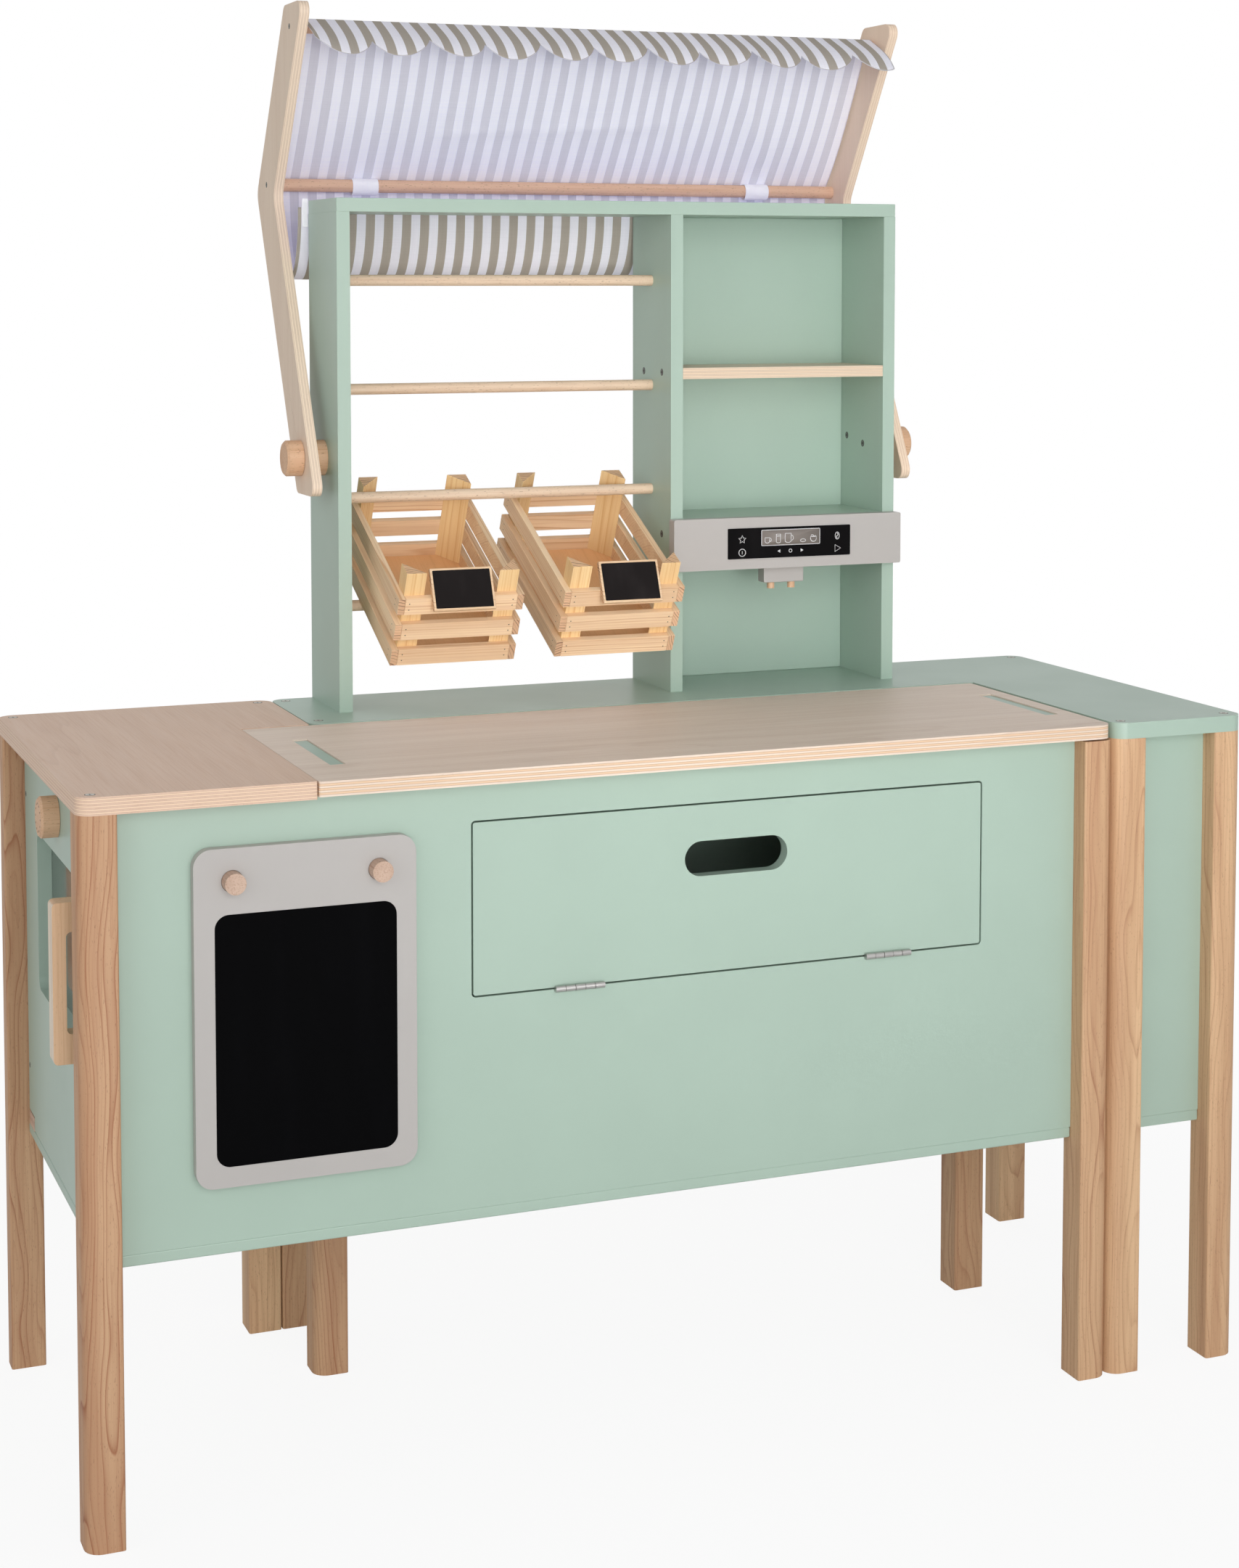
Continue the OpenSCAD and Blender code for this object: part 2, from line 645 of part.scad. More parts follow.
module shelf_upright(x) block([x, shelf_y0, counter_h], [x + panel_t, stall_d, shelf_z1 - panel_t]);
module each_rod(x0, x1, r) {
    for (i = [0:rods - 1]) round_x(x0, x1, [rod_y, counter_h + rod_z + i * rod_pitch], r);
}
module rod_holes() each_rod(shelf_x0 + panel_t - rod_seat, divider_x + rod_seat, rod_r + turn_fit);
module bolt_hole(x0, x1) round_x(x0, x1, pivot, bolt_r + turn_fit);
module shelf_left() color(MINT) difference() {
    shelf_upright(shelf_x0);
    rod_holes();
    bolt_hole(shelf_x0 - over, shelf_x0 + bolt_seat);
}
module shelf_divider() color(MINT) difference() {
    shelf_upright(divider_x);
    rod_holes();
}
module shelf_right() color(MINT) difference() {
    shelf_upright(right_x);
    bolt_hole(shelf_x1 - bolt_seat, shelf_x1 + over);
}
module shelf_top() color(MINT)
    block([shelf_x0, shelf_y0, shelf_z1 - panel_t], [shelf_x1, stall_d, shelf_z1]);
module shelf_back() color(MINT)
    block([divider_x + panel_t, back_y, counter_h], [right_x, back_y + back_t, shelf_z1 - panel_t]);
module bay_board(top, t) block([divider_x + panel_t, shelf_y0, top - t], [right_x, back_y, top]);
module shelf_board() color(PLY) bay_board(counter_h + shelf_board_z, shelf_board_t);
module hanging_rods() color(BEECH)
    each_rod(shelf_x0 + panel_t - rod_seat, divider_x + rod_seat, rod_r);

// Coffee machine

module machine_shelf() color(MINT) bay_board(machine_top, panel_t);
module machine_front() color(GREY) along_y(machine_y, shelf_y0)
    even_plan([divider_x - machine_over, machine_top - machine_h],
        [shelf_x1 + machine_over, machine_top], ease);
module machine_display() color(SLATE) along_y(machine_y - display_t, machine_y)
    even_plan([machine_mid - display_w / 2, machine_mid_z - display_h / 2],
        [machine_mid + display_w / 2, machine_mid_z + display_h / 2], ease / 2);
module machine_spout() color(GREY)
    block([machine_mid - spout_w / 2, shelf_y0, machine_top - machine_h - spout_drop],
        [machine_mid + spout_w / 2, shelf_y0 + spout_d, machine_top - panel_t]);
module spout_nozzles() color(BEECH) for (side = [-1, 1]) {
    round_z(machine_top - machine_h - spout_drop - nozzle_l, machine_top - machine_h - spout_drop,
        [machine_mid + side * nozzle_pitch / 2, shelf_y0 + spout_d / 2], nozzle_d / 2);
}

// Awning

low_dir = (bend - pivot) / norm(bend - pivot);
low_back = [low_dir[1], -low_dir[0]];
// Half the width of an arm, measured level, below and above the bend
low_half = arm_w / 2 / low_dir[1];
up_half = arm_w / 2 / up_dir[1];
// Half the width of an arm along the line that halves its bend
bend_half = arm_w / 2 / (low_back * (low_back + up_back) / norm(low_back + up_back));
bend_out = (low_back + up_back) / norm(low_back + up_back) * bend_half;
ARM = round_outline(
    [arm_foot - [low_half, 0], arm_foot + [low_half, 0], bend + bend_out, arm_end + [up_half, 0],
        arm_end - [up_half, 0], bend - bend_out],
    [arm_round, arm_round, bend_round, arm_round, arm_round, bend_round]);
module arm(x) color(PLY) difference() {
    along_x(x, x + arm_t) polygon(ARM);
    bolt_hole(x - over, x + arm_t + over);
}
module awning_arm_left() arm(arm_lx);
module awning_arm_right() arm(arm_rx);
module spacer(x) difference() {
    round_x(x, x + spacer_t, pivot, knob_d / 2);
    bolt_hole(x - over, x + spacer_t + over);
}
module awning_spacers() color(BEECH) {
    spacer(shelf_x0 - spacer_t);
    spacer(shelf_x1);
}
module clamp_knob() turned_knob(knob_d, knob_t, bolt_r, arm_t + 2 * play + spacer_t + bolt_seat - play);
module awning_knob_left() color(BEECH) translate([arm_lx - play - knob_t, pivot[0], pivot[1]])
    rotate([0, 90, 0]) clamp_knob();
module awning_knob_right() color(BEECH) translate([arm_rx + arm_t + play + knob_t, pivot[0], pivot[1]])
    rotate([0, -90, 0]) clamp_knob();
module awning_rods() color(BEECH) for (at = [mid_rod, top_rod]) {
    round_x(arm_lx + arm_t, arm_rx, at, awning_r);
}
// The roof cloth from behind the mid rod, over the top rod and down to the scallops
roof_steps = 10;
wrap_steps = 6;
wrap_from = atan2(up_back[1], up_back[0]);
wrap_to = 90 + valance_fall;
roof_foot = mid_rod + mid_wrap_r * up_back;
roof_head = top_rod + wrap_r * up_back;
function wrap(at, r, from, to) =
    [for (i = [0:wrap_steps]) let (a = from + (to - from) * i / wrap_steps) at + r * [cos(a), sin(a)]];
ROOF = concat(wrap(mid_rod, mid_wrap_r, 0, wrap_from),
    [for (i = [1:roof_steps - 1])
        let (t = i / roof_steps) roof_foot + t * (roof_head - roof_foot) - roof_sag * sin(180 * t) * up_back],
    wrap(top_rod, wrap_r, wrap_from, wrap_to));
// The valance leaves the rod at its flat slope and curls down to its steep one in its lower part
drape_steps = 10;
function drape_slope(i) = valance_fall + (valance_hang - valance_fall) * pow(i / drape_steps, 3);
function drape(at, i = 0) = i > drape_steps ? []
    : concat([at], drape(at - valance_l / drape_steps * [cos(drape_slope(i)), sin(drape_slope(i))], i + 1));
VALANCE = drape(ROOF[len(ROOF) - 1]);
CLOTH_PATH = concat(ROOF, [for (i = [1:drape_steps]) VALANCE[i]]);
hem = VALANCE[drape_steps];
scallop_r = (pow(scallop_w / 2, 2) + pow(scallop_drop, 2)) / (2 * scallop_drop);
// Front view of what is cut away below and between the scallops
module scallop_gaps() difference() {
    translate([cloth_x0 - over, hem[1] - over]) square([cloth_x1 - cloth_x0 + 2 * over, scallop_drop + over]);
    for (i = [0:scallops - 1]) {
        translate([cloth_x0 + (i + 0.5) * scallop_w, hem[1] + scallop_r]) circle(scallop_r);
    }
}
module awning_cloth() color(CLOTH) difference() {
    along_x(cloth_x0, cloth_x1) polygon(ribbon(CLOTH_PATH, cloth_t));
    along_y(hem[0] - awning_rod_d, top_rod[0] - awning_r) scallop_gaps();
}
// The slack loop from the shelf's rear edge down and up to the mid rod
slack_steps = 20;
strip_t = 1;
slack_y = stall_d + strip_t + play + cloth_t / 2;
slack_foot = [slack_y, shelf_z1 - panel_t / 2];
slack_head = mid_rod + mid_wrap_r * [1, 0];
// A cubic of this pull hangs to about three quarters of its handles
slack_pull = slack_drop * 4 / 3;
SLACK = [for (i = [0:slack_steps]) bezier(slack_foot, slack_foot - [0, slack_pull],
    slack_head - [0, slack_pull + slack_head[1] - slack_foot[1]], slack_head - [0, play], i / slack_steps)];
module awning_slack() color(CLOTH) along_x(cloth_x0, cloth_x1) polygon(ribbon(SLACK, cloth_t));
module cloth_strip() color(WHITE)
    block([shelf_x0, stall_d, shelf_z1 - panel_t], [shelf_x1, stall_d + strip_t, shelf_z1]);
module strap(x) difference() {
    round_x(x, x + strap_w, mid_rod, awning_r + play + strap_t);
    round_x(x - over, x + strap_w + over, mid_rod, awning_r + play);
}
module awning_straps() color(WHITE) {
    strap(arm_lx + arm_t + strap_in);
    strap(arm_rx - strap_in - strap_w);
}

// Crates

module in_crate(side) translate([bay_mid + side * crate_pitch / 2 - crate_w / 2, crate_at[0], crate_at[1]])
    rotate([crate_tilt, 0, 0]) children();
module crate_slats() color(PINE) for (i = [0:slats - 1]) translate([0, 0, i * (slat_h + slat_gap)]) {
    for (x = [0, crate_w - slat_t]) translate([x, 0, 0]) cube([slat_t, crate_l, slat_h]);
    for (y = [0, crate_l - slat_t]) {
        translate([slat_t + nail_gap, y, 0]) cube([crate_w - 2 * slat_t - 2 * nail_gap, slat_t, slat_h]);
    }
}
module crate_posts() color(PINE) along_z(crate_floor_t, post_h) for (right = [0, 1], rear = [0, 1]) {
    translate([right ? crate_w - slat_t : slat_t, rear ? crate_l - slat_t : slat_t])
        mirror([right, 0]) mirror([0, rear]) polygon([[0, 0], [post_w, 0], [0, post_w]]);
}
module crate_floor() color(PLY)
    block([slat_t, slat_t, 0], [crate_w - slat_t, crate_l - slat_t, crate_floor_t]);
// The board stands on the front slat's top edge, a third of its height below it
price_dir = [sin(price_lean), cos(price_lean)];
price_back = [cos(price_lean), -sin(price_lean)];
price_foot = [-play, crate_h + play] - price_h / 3 * price_dir;
clip_in = slat_t + play + price_t;
module price_board(shift) color(PINE) translate([crate_w / 2 + shift, 0, 0]) {
    along_x(-price_w / 2, price_w / 2)
        polygon([price_foot, price_foot + price_h * price_dir,
            price_foot + price_h * price_dir - price_t * price_back, price_foot - price_t * price_back]);
    along_x(-clip_w / 2, clip_w / 2)
        polygon([price_foot + price_dir, [-play, price_foot[1] + price_dir[1]], [-play, crate_h + play],
            [slat_t + play, crate_h + play], [slat_t + play, crate_h - slat_h / 2],
            [clip_in, crate_h - slat_h / 2], [clip_in, crate_h + play + (clip_in + play) / tan(price_lean)]]);
}
module crate_left_slats() in_crate(-1) crate_slats();
module crate_left_posts() in_crate(-1) crate_posts();
module crate_left_floor() in_crate(-1) crate_floor();
module crate_left_price_board() in_crate(-1) price_board(0);
module crate_right_slats() in_crate(1) crate_slats();
module crate_right_posts() in_crate(1) crate_posts();
module crate_right_floor() in_crate(1) crate_floor();
module crate_right_price_board() in_crate(1) price_board(price_shift);

// The origin lies on the floor below the middle of the whole stall
arm_back = max([for (p = ARM) p[0]]);
centre = [(inset - handle_reach + stall_w) / 2, (inset - peg_reach + arm_back) / 2];
module placed() translate([-centre[0], -centre[1], 0]) children();

placed() front_legs();
placed() front_panel();
placed() oven_partition();
placed() right_end_panel();
placed() front_back_panel();
placed() oven_back_panel();
placed() front_floor();
placed() counter_top();
placed() chalkboard_pegs();
placed() hinge_fixed_leaves();
placed() counter_lid();
placed() flap();
placed() hinge_flap_leaves();
placed() oven_door();
placed() pivot_block();
placed() oven_window();
placed() oven_handle();
placed() oven_door_pins();
placed() oven_knob();
placed() chalkboard_frame();
placed() chalkboard_slate();
placed() rear_legs();
placed() rear_top();
placed() rear_floor();
placed() wing_front_panel();
placed() wing_inner_panel();
placed() rear_front_panel();
placed() right_side_panel();
placed() rear_left_panel();
placed() rear_back_panel();
placed() shelf_left();
placed() shelf_divider();
placed() shelf_right();
placed() shelf_top();
placed() shelf_back();
placed() shelf_board();
placed() machine_shelf();
placed() machine_front();
placed() machine_display();
placed() machine_spout();
placed() spout_nozzles();
placed() hanging_rods();
placed() awning_spacers();
placed() cloth_strip();
placed() awning_arm_left();
placed() awning_arm_right();
placed() awning_rods();
placed() awning_cloth();
placed() awning_slack();
placed() awning_straps();
placed() awning_knob_left();
placed() awning_knob_right();
placed() crate_left_slats();
placed() crate_left_posts();
placed() crate_left_floor();
placed() crate_left_price_board();
placed() crate_right_slats();
placed() crate_right_posts();
placed() crate_right_floor();
placed() crate_right_price_board();
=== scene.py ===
# %% [markdown]
# # Dressing a toy market stall
# The frame comes from the CAD model: two nesting counters with an oven, a chalkboard and a fold-down flap, and a
# shelf with an awning and two crates. This lesson gives every board, rod and cloth of it its finish, adds the soft
# and small pieces that are not in the CAD model, and sets up the studio. It could all be painted on images, but
# finishes worked out from coordinates stay sharp at any distance, so that way is taken throughout.

from math import cos, pi, radians, sin

import bmesh
import bpy
import numpy as np
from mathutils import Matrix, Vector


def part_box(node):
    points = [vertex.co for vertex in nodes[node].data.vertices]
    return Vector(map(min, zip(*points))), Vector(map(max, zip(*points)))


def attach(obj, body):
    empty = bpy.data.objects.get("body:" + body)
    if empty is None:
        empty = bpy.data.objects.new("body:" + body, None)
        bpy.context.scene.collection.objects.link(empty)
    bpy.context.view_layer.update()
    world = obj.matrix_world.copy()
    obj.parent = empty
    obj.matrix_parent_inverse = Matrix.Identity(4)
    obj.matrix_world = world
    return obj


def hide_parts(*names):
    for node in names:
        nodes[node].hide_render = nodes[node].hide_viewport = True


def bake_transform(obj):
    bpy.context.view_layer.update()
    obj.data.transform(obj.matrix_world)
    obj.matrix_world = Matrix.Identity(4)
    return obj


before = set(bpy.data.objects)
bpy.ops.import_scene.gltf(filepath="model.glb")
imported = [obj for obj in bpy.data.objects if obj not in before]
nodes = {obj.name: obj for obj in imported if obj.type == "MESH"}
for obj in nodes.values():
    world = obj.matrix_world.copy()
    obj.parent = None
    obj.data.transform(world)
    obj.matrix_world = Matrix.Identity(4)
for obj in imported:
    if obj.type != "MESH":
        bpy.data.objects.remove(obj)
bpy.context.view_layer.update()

# %% [markdown]
# ## Drawing in millimetres
# The stall was drawn in millimetres from the floor under its front left leg: x along the front, y to the back and
# z up. Blender works in metres from the middle of the stall. One small function turns the first into the second,
# so that every number below is one that could be checked with a ruler on the real object.

# %% From the drawing to Blender
CENTRE = np.array([505.25, 248.293, 0.0])


def metres(points):
    """Drawing millimetres to metres in the frame: take away the stall's middle and divide by a thousand."""
    return (np.asarray(points, float) - CENTRE) / 1000


def surface(name, points, wrap=False, uv=None):
    """A mesh from points on a grid of rows and columns: each face joins a point, its right neighbour and the two
    below them. wrap joins the last column to the first. Any axes before the last three are separate copies."""
    grid = np.arange(points[..., 0].size).reshape(points.shape[:-1])
    if wrap:
        grid = np.concatenate([grid, grid[..., :1]], axis=-1)
    corners = grid[..., :-1, :-1], grid[..., :-1, 1:], grid[..., 1:, 1:], grid[..., 1:, :-1]
    quads = np.stack(corners, -1).reshape(-1, 4)
    mesh = bpy.data.meshes.new(name)
    mesh.vertices.add(grid.max() + 1)
    mesh.vertices.foreach_set("co", metres(points).ravel())
    mesh.loops.add(quads.size)
    mesh.loops.foreach_set("vertex_index", quads.ravel())
    mesh.polygons.add(len(quads))
    mesh.polygons.foreach_set("loop_start", np.arange(0, quads.size, 4))
    mesh.update(calc_edges=True)
    if uv is not None:
        layer = mesh.uv_layers.new(name="cut")
        layer.data.foreach_set("uv", uv.reshape(-1, 2)[quads.ravel()].ravel())
    mesh.shade_smooth()
    made = bpy.data.objects.new(name, mesh)
    bpy.context.collection.objects.link(made)
    return made


def close(made):
    """Merges the points that lie on each other, at seams and poles, and turns the faces of a closed form outwards."""
    work = bmesh.new()
    work.from_mesh(made.data)
    bmesh.ops.remove_doubles(work, verts=work.verts, dist=1e-6)
    bmesh.ops.recalc_face_normals(work, faces=work.faces)
    work.to_mesh(made.data)
    work.free()
    return made


def finish_piece(made, body, material):
    """Gives a piece its material and the body that it rides on."""
    made.data.materials.append(material)
    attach(made, body)
    print(made.name, len(made.data.polygons), "faces on", body)
    return made


def solid(name, points, body, material):
    """A closed form from rings of points, finished and set on its body."""
    return finish_piece(close(surface(name, points, wrap=True)), body, material)


print("one drawing millimetre is", metres([CENTRE[0] + 1, 0, 0])[0], "m")

# %% [markdown]
# ## Camera
# The photograph was taken from the front left, a little above the counters. The place, turn and lens come from a fit
# to about forty points that show on the object. The real camera was level with a shifted lens; here part of
# that shift is a small tilt, so that the views from other sides stay in the frame.

# %% Camera
lens = bpy.data.cameras.new("camera")
lens.lens, lens.sensor_width, lens.shift_y = 60.22, 36, -0.21
lens.clip_end = 50
camera = bpy.data.objects.new("camera", lens)
camera.location = (-0.8362, -2.17156, 0.95628)
camera.rotation_euler = (radians(90 - 3.786), 0, radians(-21.589))
bpy.context.collection.objects.link(camera)
bpy.context.scene.camera = camera
print("camera at", tuple(round(c, 3) for c in camera.location))

# %% [markdown]
# ## Studio
# A pale floor and large soft lamps: the key at the front, a narrow one for the shelf's niche and two weak ones that
# fill the left side and the back. Their powers were fitted so that panels, tops and niche are as bright as in
# the photograph. The white behind the stall is only shown to the camera and to reflections, through Light Path: it
# adds no light to the object, and the floor keeps the shadow.

# %% Node helpers
def put(tree, socket, feed):
    """Links a socket to a socket, or types a value into it; None leaves it as it is."""
    if isinstance(feed, bpy.types.NodeSocket):
        tree.links.new(feed, socket)
    elif feed is not None:
        socket.default_value = feed


def feed_in(tree, node, **feeds):
    """Feeds a node's inputs by name, with _ for a space."""
    for label, feed in feeds.items():
        put(tree, node.inputs[label.replace("_", " ")], feed)


def add(tree, kind, *feeds, out=0, **settings):
    """Adds a shader node with its settings, feeds its inputs in order and gives back one of its outputs."""
    made = tree.nodes.new("ShaderNode" + kind)
    for name, value in settings.items():
        setattr(made, name, value)
    for socket, feed in zip(made.inputs, feeds):
        put(tree, socket, feed)
    return made.outputs[out]


def calc(tree, operation, *feeds):
    """One step of arithmetic."""
    return add(tree, "Math", *feeds, operation=operation)


def vector(tree, operation, *feeds, out=0):
    """One step of arithmetic with vectors; output 1 is a single value, such as a length."""
    return add(tree, "VectorMath", *feeds, operation=operation, out=out)


def smooth(tree, value, low, high, start=0.0, end=1.0):
    """A value mapped with a soft step from low..high to start..end."""
    return add(tree, "MapRange", value, low, high, start, end, interpolation_type="SMOOTHSTEP")


def tint(tree, factor, a, b, kind="MIX"):
    """Two colours mixed by a factor."""
    made = tree.nodes.new("ShaderNodeMix")
    made.data_type, made.blend_type = "RGBA", kind
    for index, feed in ((0, factor), (6, a), (7, b)):
        put(tree, made.inputs[index], feed)
    return made.outputs[2]


def dim(tree, colour, shade):
    """A colour times a grey value."""
    return tint(tree, 1.0, colour, add(tree, "CombineColor", shade, shade, shade), "MULTIPLY")


def split(tree, place):
    """The three parts of a vector."""
    made = tree.nodes.new("ShaderNodeSeparateXYZ")
    put(tree, made.inputs[0], place)
    return made.outputs


def noise(tree, place, stretch, detail=2.0, out="Fac"):
    """Cloudy noise with one blob to a unit of place times stretch."""
    made = tree.nodes.new("ShaderNodeTexNoise")
    feed_in(tree, made, Vector=vector(tree, "MULTIPLY", place, stretch), Scale=1.0, Detail=detail)
    return made.outputs[out]


def srgb(r, g, b):
    """A colour as a picture editor gives it, 0 to 255, turned into Blender's linear light."""
    c = np.array([r, g, b]) / 255
    return (*np.where(c <= 0.04045, c / 12.92, ((c + 0.055) / 1.055) ** 2.4), 1.0)


def times(colour, by):
    """A colour made lighter or darker, but not past white."""
    return (*(min(1.0, c * by) for c in colour[:3]), 1.0)


print("helpers ready, middle grey is", round(srgb(128, 128, 128)[0], 3))

# %% Floor, backdrop light and lamps
bpy.context.scene.view_settings.view_transform = "Standard"


def white_share(tree, share, mirrored):
    """A factor that is share for camera and see-through rays, a part of it for mirror rays and nothing for the light
    that falls on the stall."""
    path = tree.nodes.new("ShaderNodeLightPath").outputs
    seen = calc(tree, "MAXIMUM", path["Is Camera Ray"], path["Is Transmission Ray"])
    seen = calc(tree, "MAXIMUM", seen, calc(tree, "MULTIPLY", path["Is Glossy Ray"], mirrored))
    return calc(tree, "MULTIPLY", seen, share)


floor_paint = bpy.data.materials.new("studio_floor")
floor_paint.use_nodes = True
tree = floor_paint.node_tree
paint = tree.nodes["Principled BSDF"]
feed_in(tree, paint, Base_Color=(0.86, 0.86, 0.86, 1), Roughness=0.9, Specular_IOR_Level=0.1)
glow = add(tree, "Emission", (1, 1, 1, 1), 1.0)
place = tree.nodes.new("ShaderNodeTexCoord").outputs["Object"]
far = smooth(tree, vector(tree, "LENGTH", place, out=1), 0.6, 1.7, 0.9, 1.0)
mixed = add(tree, "MixShader", white_share(tree, far, 0.35), paint.outputs[0], glow)
tree.links.new(mixed, tree.nodes["Material Output"].inputs["Surface"])

span = np.linspace(-20000, 20000, 3)
x, y = np.meshgrid(span, span)
floor = surface("studio_floor", np.stack([x, y, np.full_like(x, -0.3)], -1))
floor.data.materials.append(floor_paint)

world = bpy.data.worlds.new("studio")
bpy.context.scene.world = world
world.use_nodes = True
tree = world.node_tree
soft = tree.nodes["Background"]
feed_in(tree, soft, Color=(1, 1, 1, 1), Strength=0.445)
white = add(tree, "Background", (1, 1, 1, 1), 1.0)
mixed = add(tree, "MixShader", white_share(tree, 1.0, 0.7), soft.outputs[0], white)
tree.links.new(mixed, tree.nodes["World Output"].inputs["Surface"])


def lamp(name, place, target, size, power, spread=180):
    """A square area lamp that faces a target; a grid in front of it narrows its beam to a spread in degrees."""
    light = bpy.data.lights.new(name, "AREA")
    light.size, light.energy, light.spread = size, power, np.radians(spread)
    made = bpy.data.objects.new(name, light)
    made.location = place
    bpy.context.collection.objects.link(made)
    aim = np.subtract(target, place)
    made.rotation_euler = (np.arccos(-aim[2] / np.linalg.norm(aim)), 0, np.arctan2(aim[0], -aim[1]) + pi)
    return made


lamp("key", (-0.3, -2.8, 1.1), (0.1, 0.0, 0.75), 2.0, 33.5)
lamp("grid", (-0.2, -2.6, 0.75), (0.24, 0.3, 0.76), 0.8, 0.56, 23)
lamp("fill", (-2.3, -1.5, 1.4), (0.0, 0.0, 0.8), 1.8, 9.5)
lamp("back", (0.6, 2.8, 1.3), (0.0, 0.2, 0.7), 2.2, 14).visible_glossy = False

# %% [markdown]
# ## Shared effects
# Several finishes use the same effects, so each is built once as a node group. Wood is a solid pattern: growth rings
# round a pith that lies beside the plank, drawn out along the grain and bent by noise. Cut through it anywhere and the
# long faces show lines and flames while the ends show arcs, as real timber does. Plywood is counted in layers from
# its lower face. Lacquer has a faint cloudiness and orange peel. Cloth has its threads.

# %% Group maker
def group(name, inputs, outputs):
    """A shader node group with named inputs (None is a vector, a number is a value) and named value outputs."""
    tree = bpy.data.node_groups.new(name, "ShaderNodeTree")
    for label, start in inputs.items():
        kind = "NodeSocketVector" if start is None else "NodeSocketFloat"
        socket = tree.interface.new_socket(label, in_out="INPUT", socket_type=kind)
        if start is not None:
            socket.default_value = start
    for label in outputs:
        tree.interface.new_socket(label, in_out="OUTPUT", socket_type="NodeSocketFloat")
    return tree, tree.nodes.new("NodeGroupInput").outputs, tree.nodes.new("NodeGroupOutput").inputs


def use(tree, made, **feeds):
    """Places a group in a material with its own values, and gives back its outputs."""
    node = tree.nodes.new("ShaderNodeGroup")
    node.node_tree = made
    feed_in(tree, node, **feeds)
    return node.outputs


# %% Plank figure
plank_figure, given, result = group(
    "plank_figure", {"Place": None, "Ring": 6.0, "Wander": 8.0, "Seed": 0.0}, ["Growth", "Streak", "Tone", "Fleck"]
)
tree = plank_figure
shifted = vector(tree, "ADD", given["Place"], vector(tree, "SCALE", (311.0, 173.0, 977.0), None, None, given["Seed"]))
slow = noise(tree, shifted, (0.012, 0.012, 0.003), 2.0, "Color")
bend = vector(tree, "SCALE", vector(tree, "SUBTRACT", slow, (0.5, 0.5, 0.5)), None, None, given["Wander"])
luck = add(tree, "TexWhiteNoise", None, given["Seed"], noise_dimensions="1D", out=1)
pith = vector(tree, "MULTIPLY_ADD", luck, (40.0, 40.0, 0.0), (-20.0, 24.0, 0.0))
local = vector(tree, "MULTIPLY", vector(tree, "ADD", vector(tree, "ADD", given["Place"], bend), pith), (1, 1, 0))
uneven = noise(tree, shifted, (0.05, 0.05, 0.002), 2.0)
rings = calc(tree, "DIVIDE", vector(tree, "LENGTH", local, out=1), given["Ring"])
rings = calc(tree, "MULTIPLY_ADD", uneven, 2.5, rings)
turn = calc(tree, "FRACT", rings)
year = add(tree, "TexWhiteNoise", None, calc(tree, "FLOOR", rings), noise_dimensions="1D", out=0)
late = calc(tree, "MULTIPLY", calc(tree, "POWER", turn, 5.0), smooth(tree, turn, 0.9, 1.0, 1.0, 0.0))
strong = calc(tree, "MULTIPLY_ADD", calc(tree, "POWER", year, 2.0), 1.3, 0.25)
put(tree, result["Growth"], calc(tree, "MULTIPLY", late, strong))
put(tree, result["Streak"], noise(tree, shifted, (0.8, 0.8, 0.012), 4.0))
put(tree, result["Tone"], noise(tree, shifted, (0.06, 0.06, 0.0024), 2.0))
fine = noise(tree, shifted, (1.6, 1.6, 0.28), 1.0)
put(tree, result["Fleck"], smooth(tree, fine, 0.66, 0.74))
print("plank_figure has", len(tree.nodes), "nodes")

# %% Ply layers, lacquer skin and woven threads
ply_layers, given, result = group("ply_layers", {"Depth": 0.0, "Ply": 1.5}, ["Cross", "Glue", "Tone"])
tree = ply_layers
level = calc(tree, "DIVIDE", given["Depth"], given["Ply"])
layer = calc(tree, "FLOOR", level)
put(tree, result["Cross"], calc(tree, "FLOORED_MODULO", layer, 2.0))
middle = calc(tree, "ABSOLUTE", calc(tree, "SUBTRACT", calc(tree, "FRACT", level), 0.5))
put(tree, result["Glue"], smooth(tree, middle, 0.36, 0.48))
put(tree, result["Tone"], add(tree, "TexWhiteNoise", None, layer, noise_dimensions="1D", out=0))

lacquer_skin, given, result = group("lacquer_skin", {"Place": None}, ["Cloud", "Peel"])
tree = lacquer_skin
put(tree, result["Cloud"], noise(tree, given["Place"], (0.012, 0.012, 0.012), 4.0))
put(tree, result["Peel"], noise(tree, given["Place"], (0.45, 0.45, 0.45), 2.0))

woven_threads, given, result = group("woven_threads", {"Place": None, "Pitch": 0.5}, ["Height", "Slub"])
tree = woven_threads
step = vector(tree, "SCALE", given["Place"], None, None, calc(tree, "DIVIDE", 2 * pi, given["Pitch"]))
across, along, _ = split(tree, step)
weave = calc(tree, "MULTIPLY", calc(tree, "SINE", across), calc(tree, "SINE", along))
put(tree, result["Height"], calc(tree, "MULTIPLY_ADD", weave, 0.5, 0.5))
wefts = noise(tree, given["Place"], (0.02, 0.9, 0.0), 2.0)
warps = noise(tree, given["Place"], (0.9, 0.02, 0.0), 2.0)
put(tree, result["Slub"], calc(tree, "MULTIPLY", calc(tree, "ADD", wefts, warps), 0.5))
print("groups:", [g.name for g in bpy.data.node_groups])

# %% [markdown]
# ## Finishes
# A material starts from Object coordinates in drawing millimetres, so a pattern has the same scale on every piece and
# stays with the piece when it moves. Lacquered boards are mint or grey; timber is pine, beech or plywood.

# %% Material helpers
def shader(name):
    """A new material, its node tree and its main shader."""
    made = bpy.data.materials.new(name)
    made.use_nodes = True
    return made, made.node_tree, made.node_tree.nodes["Principled BSDF"]


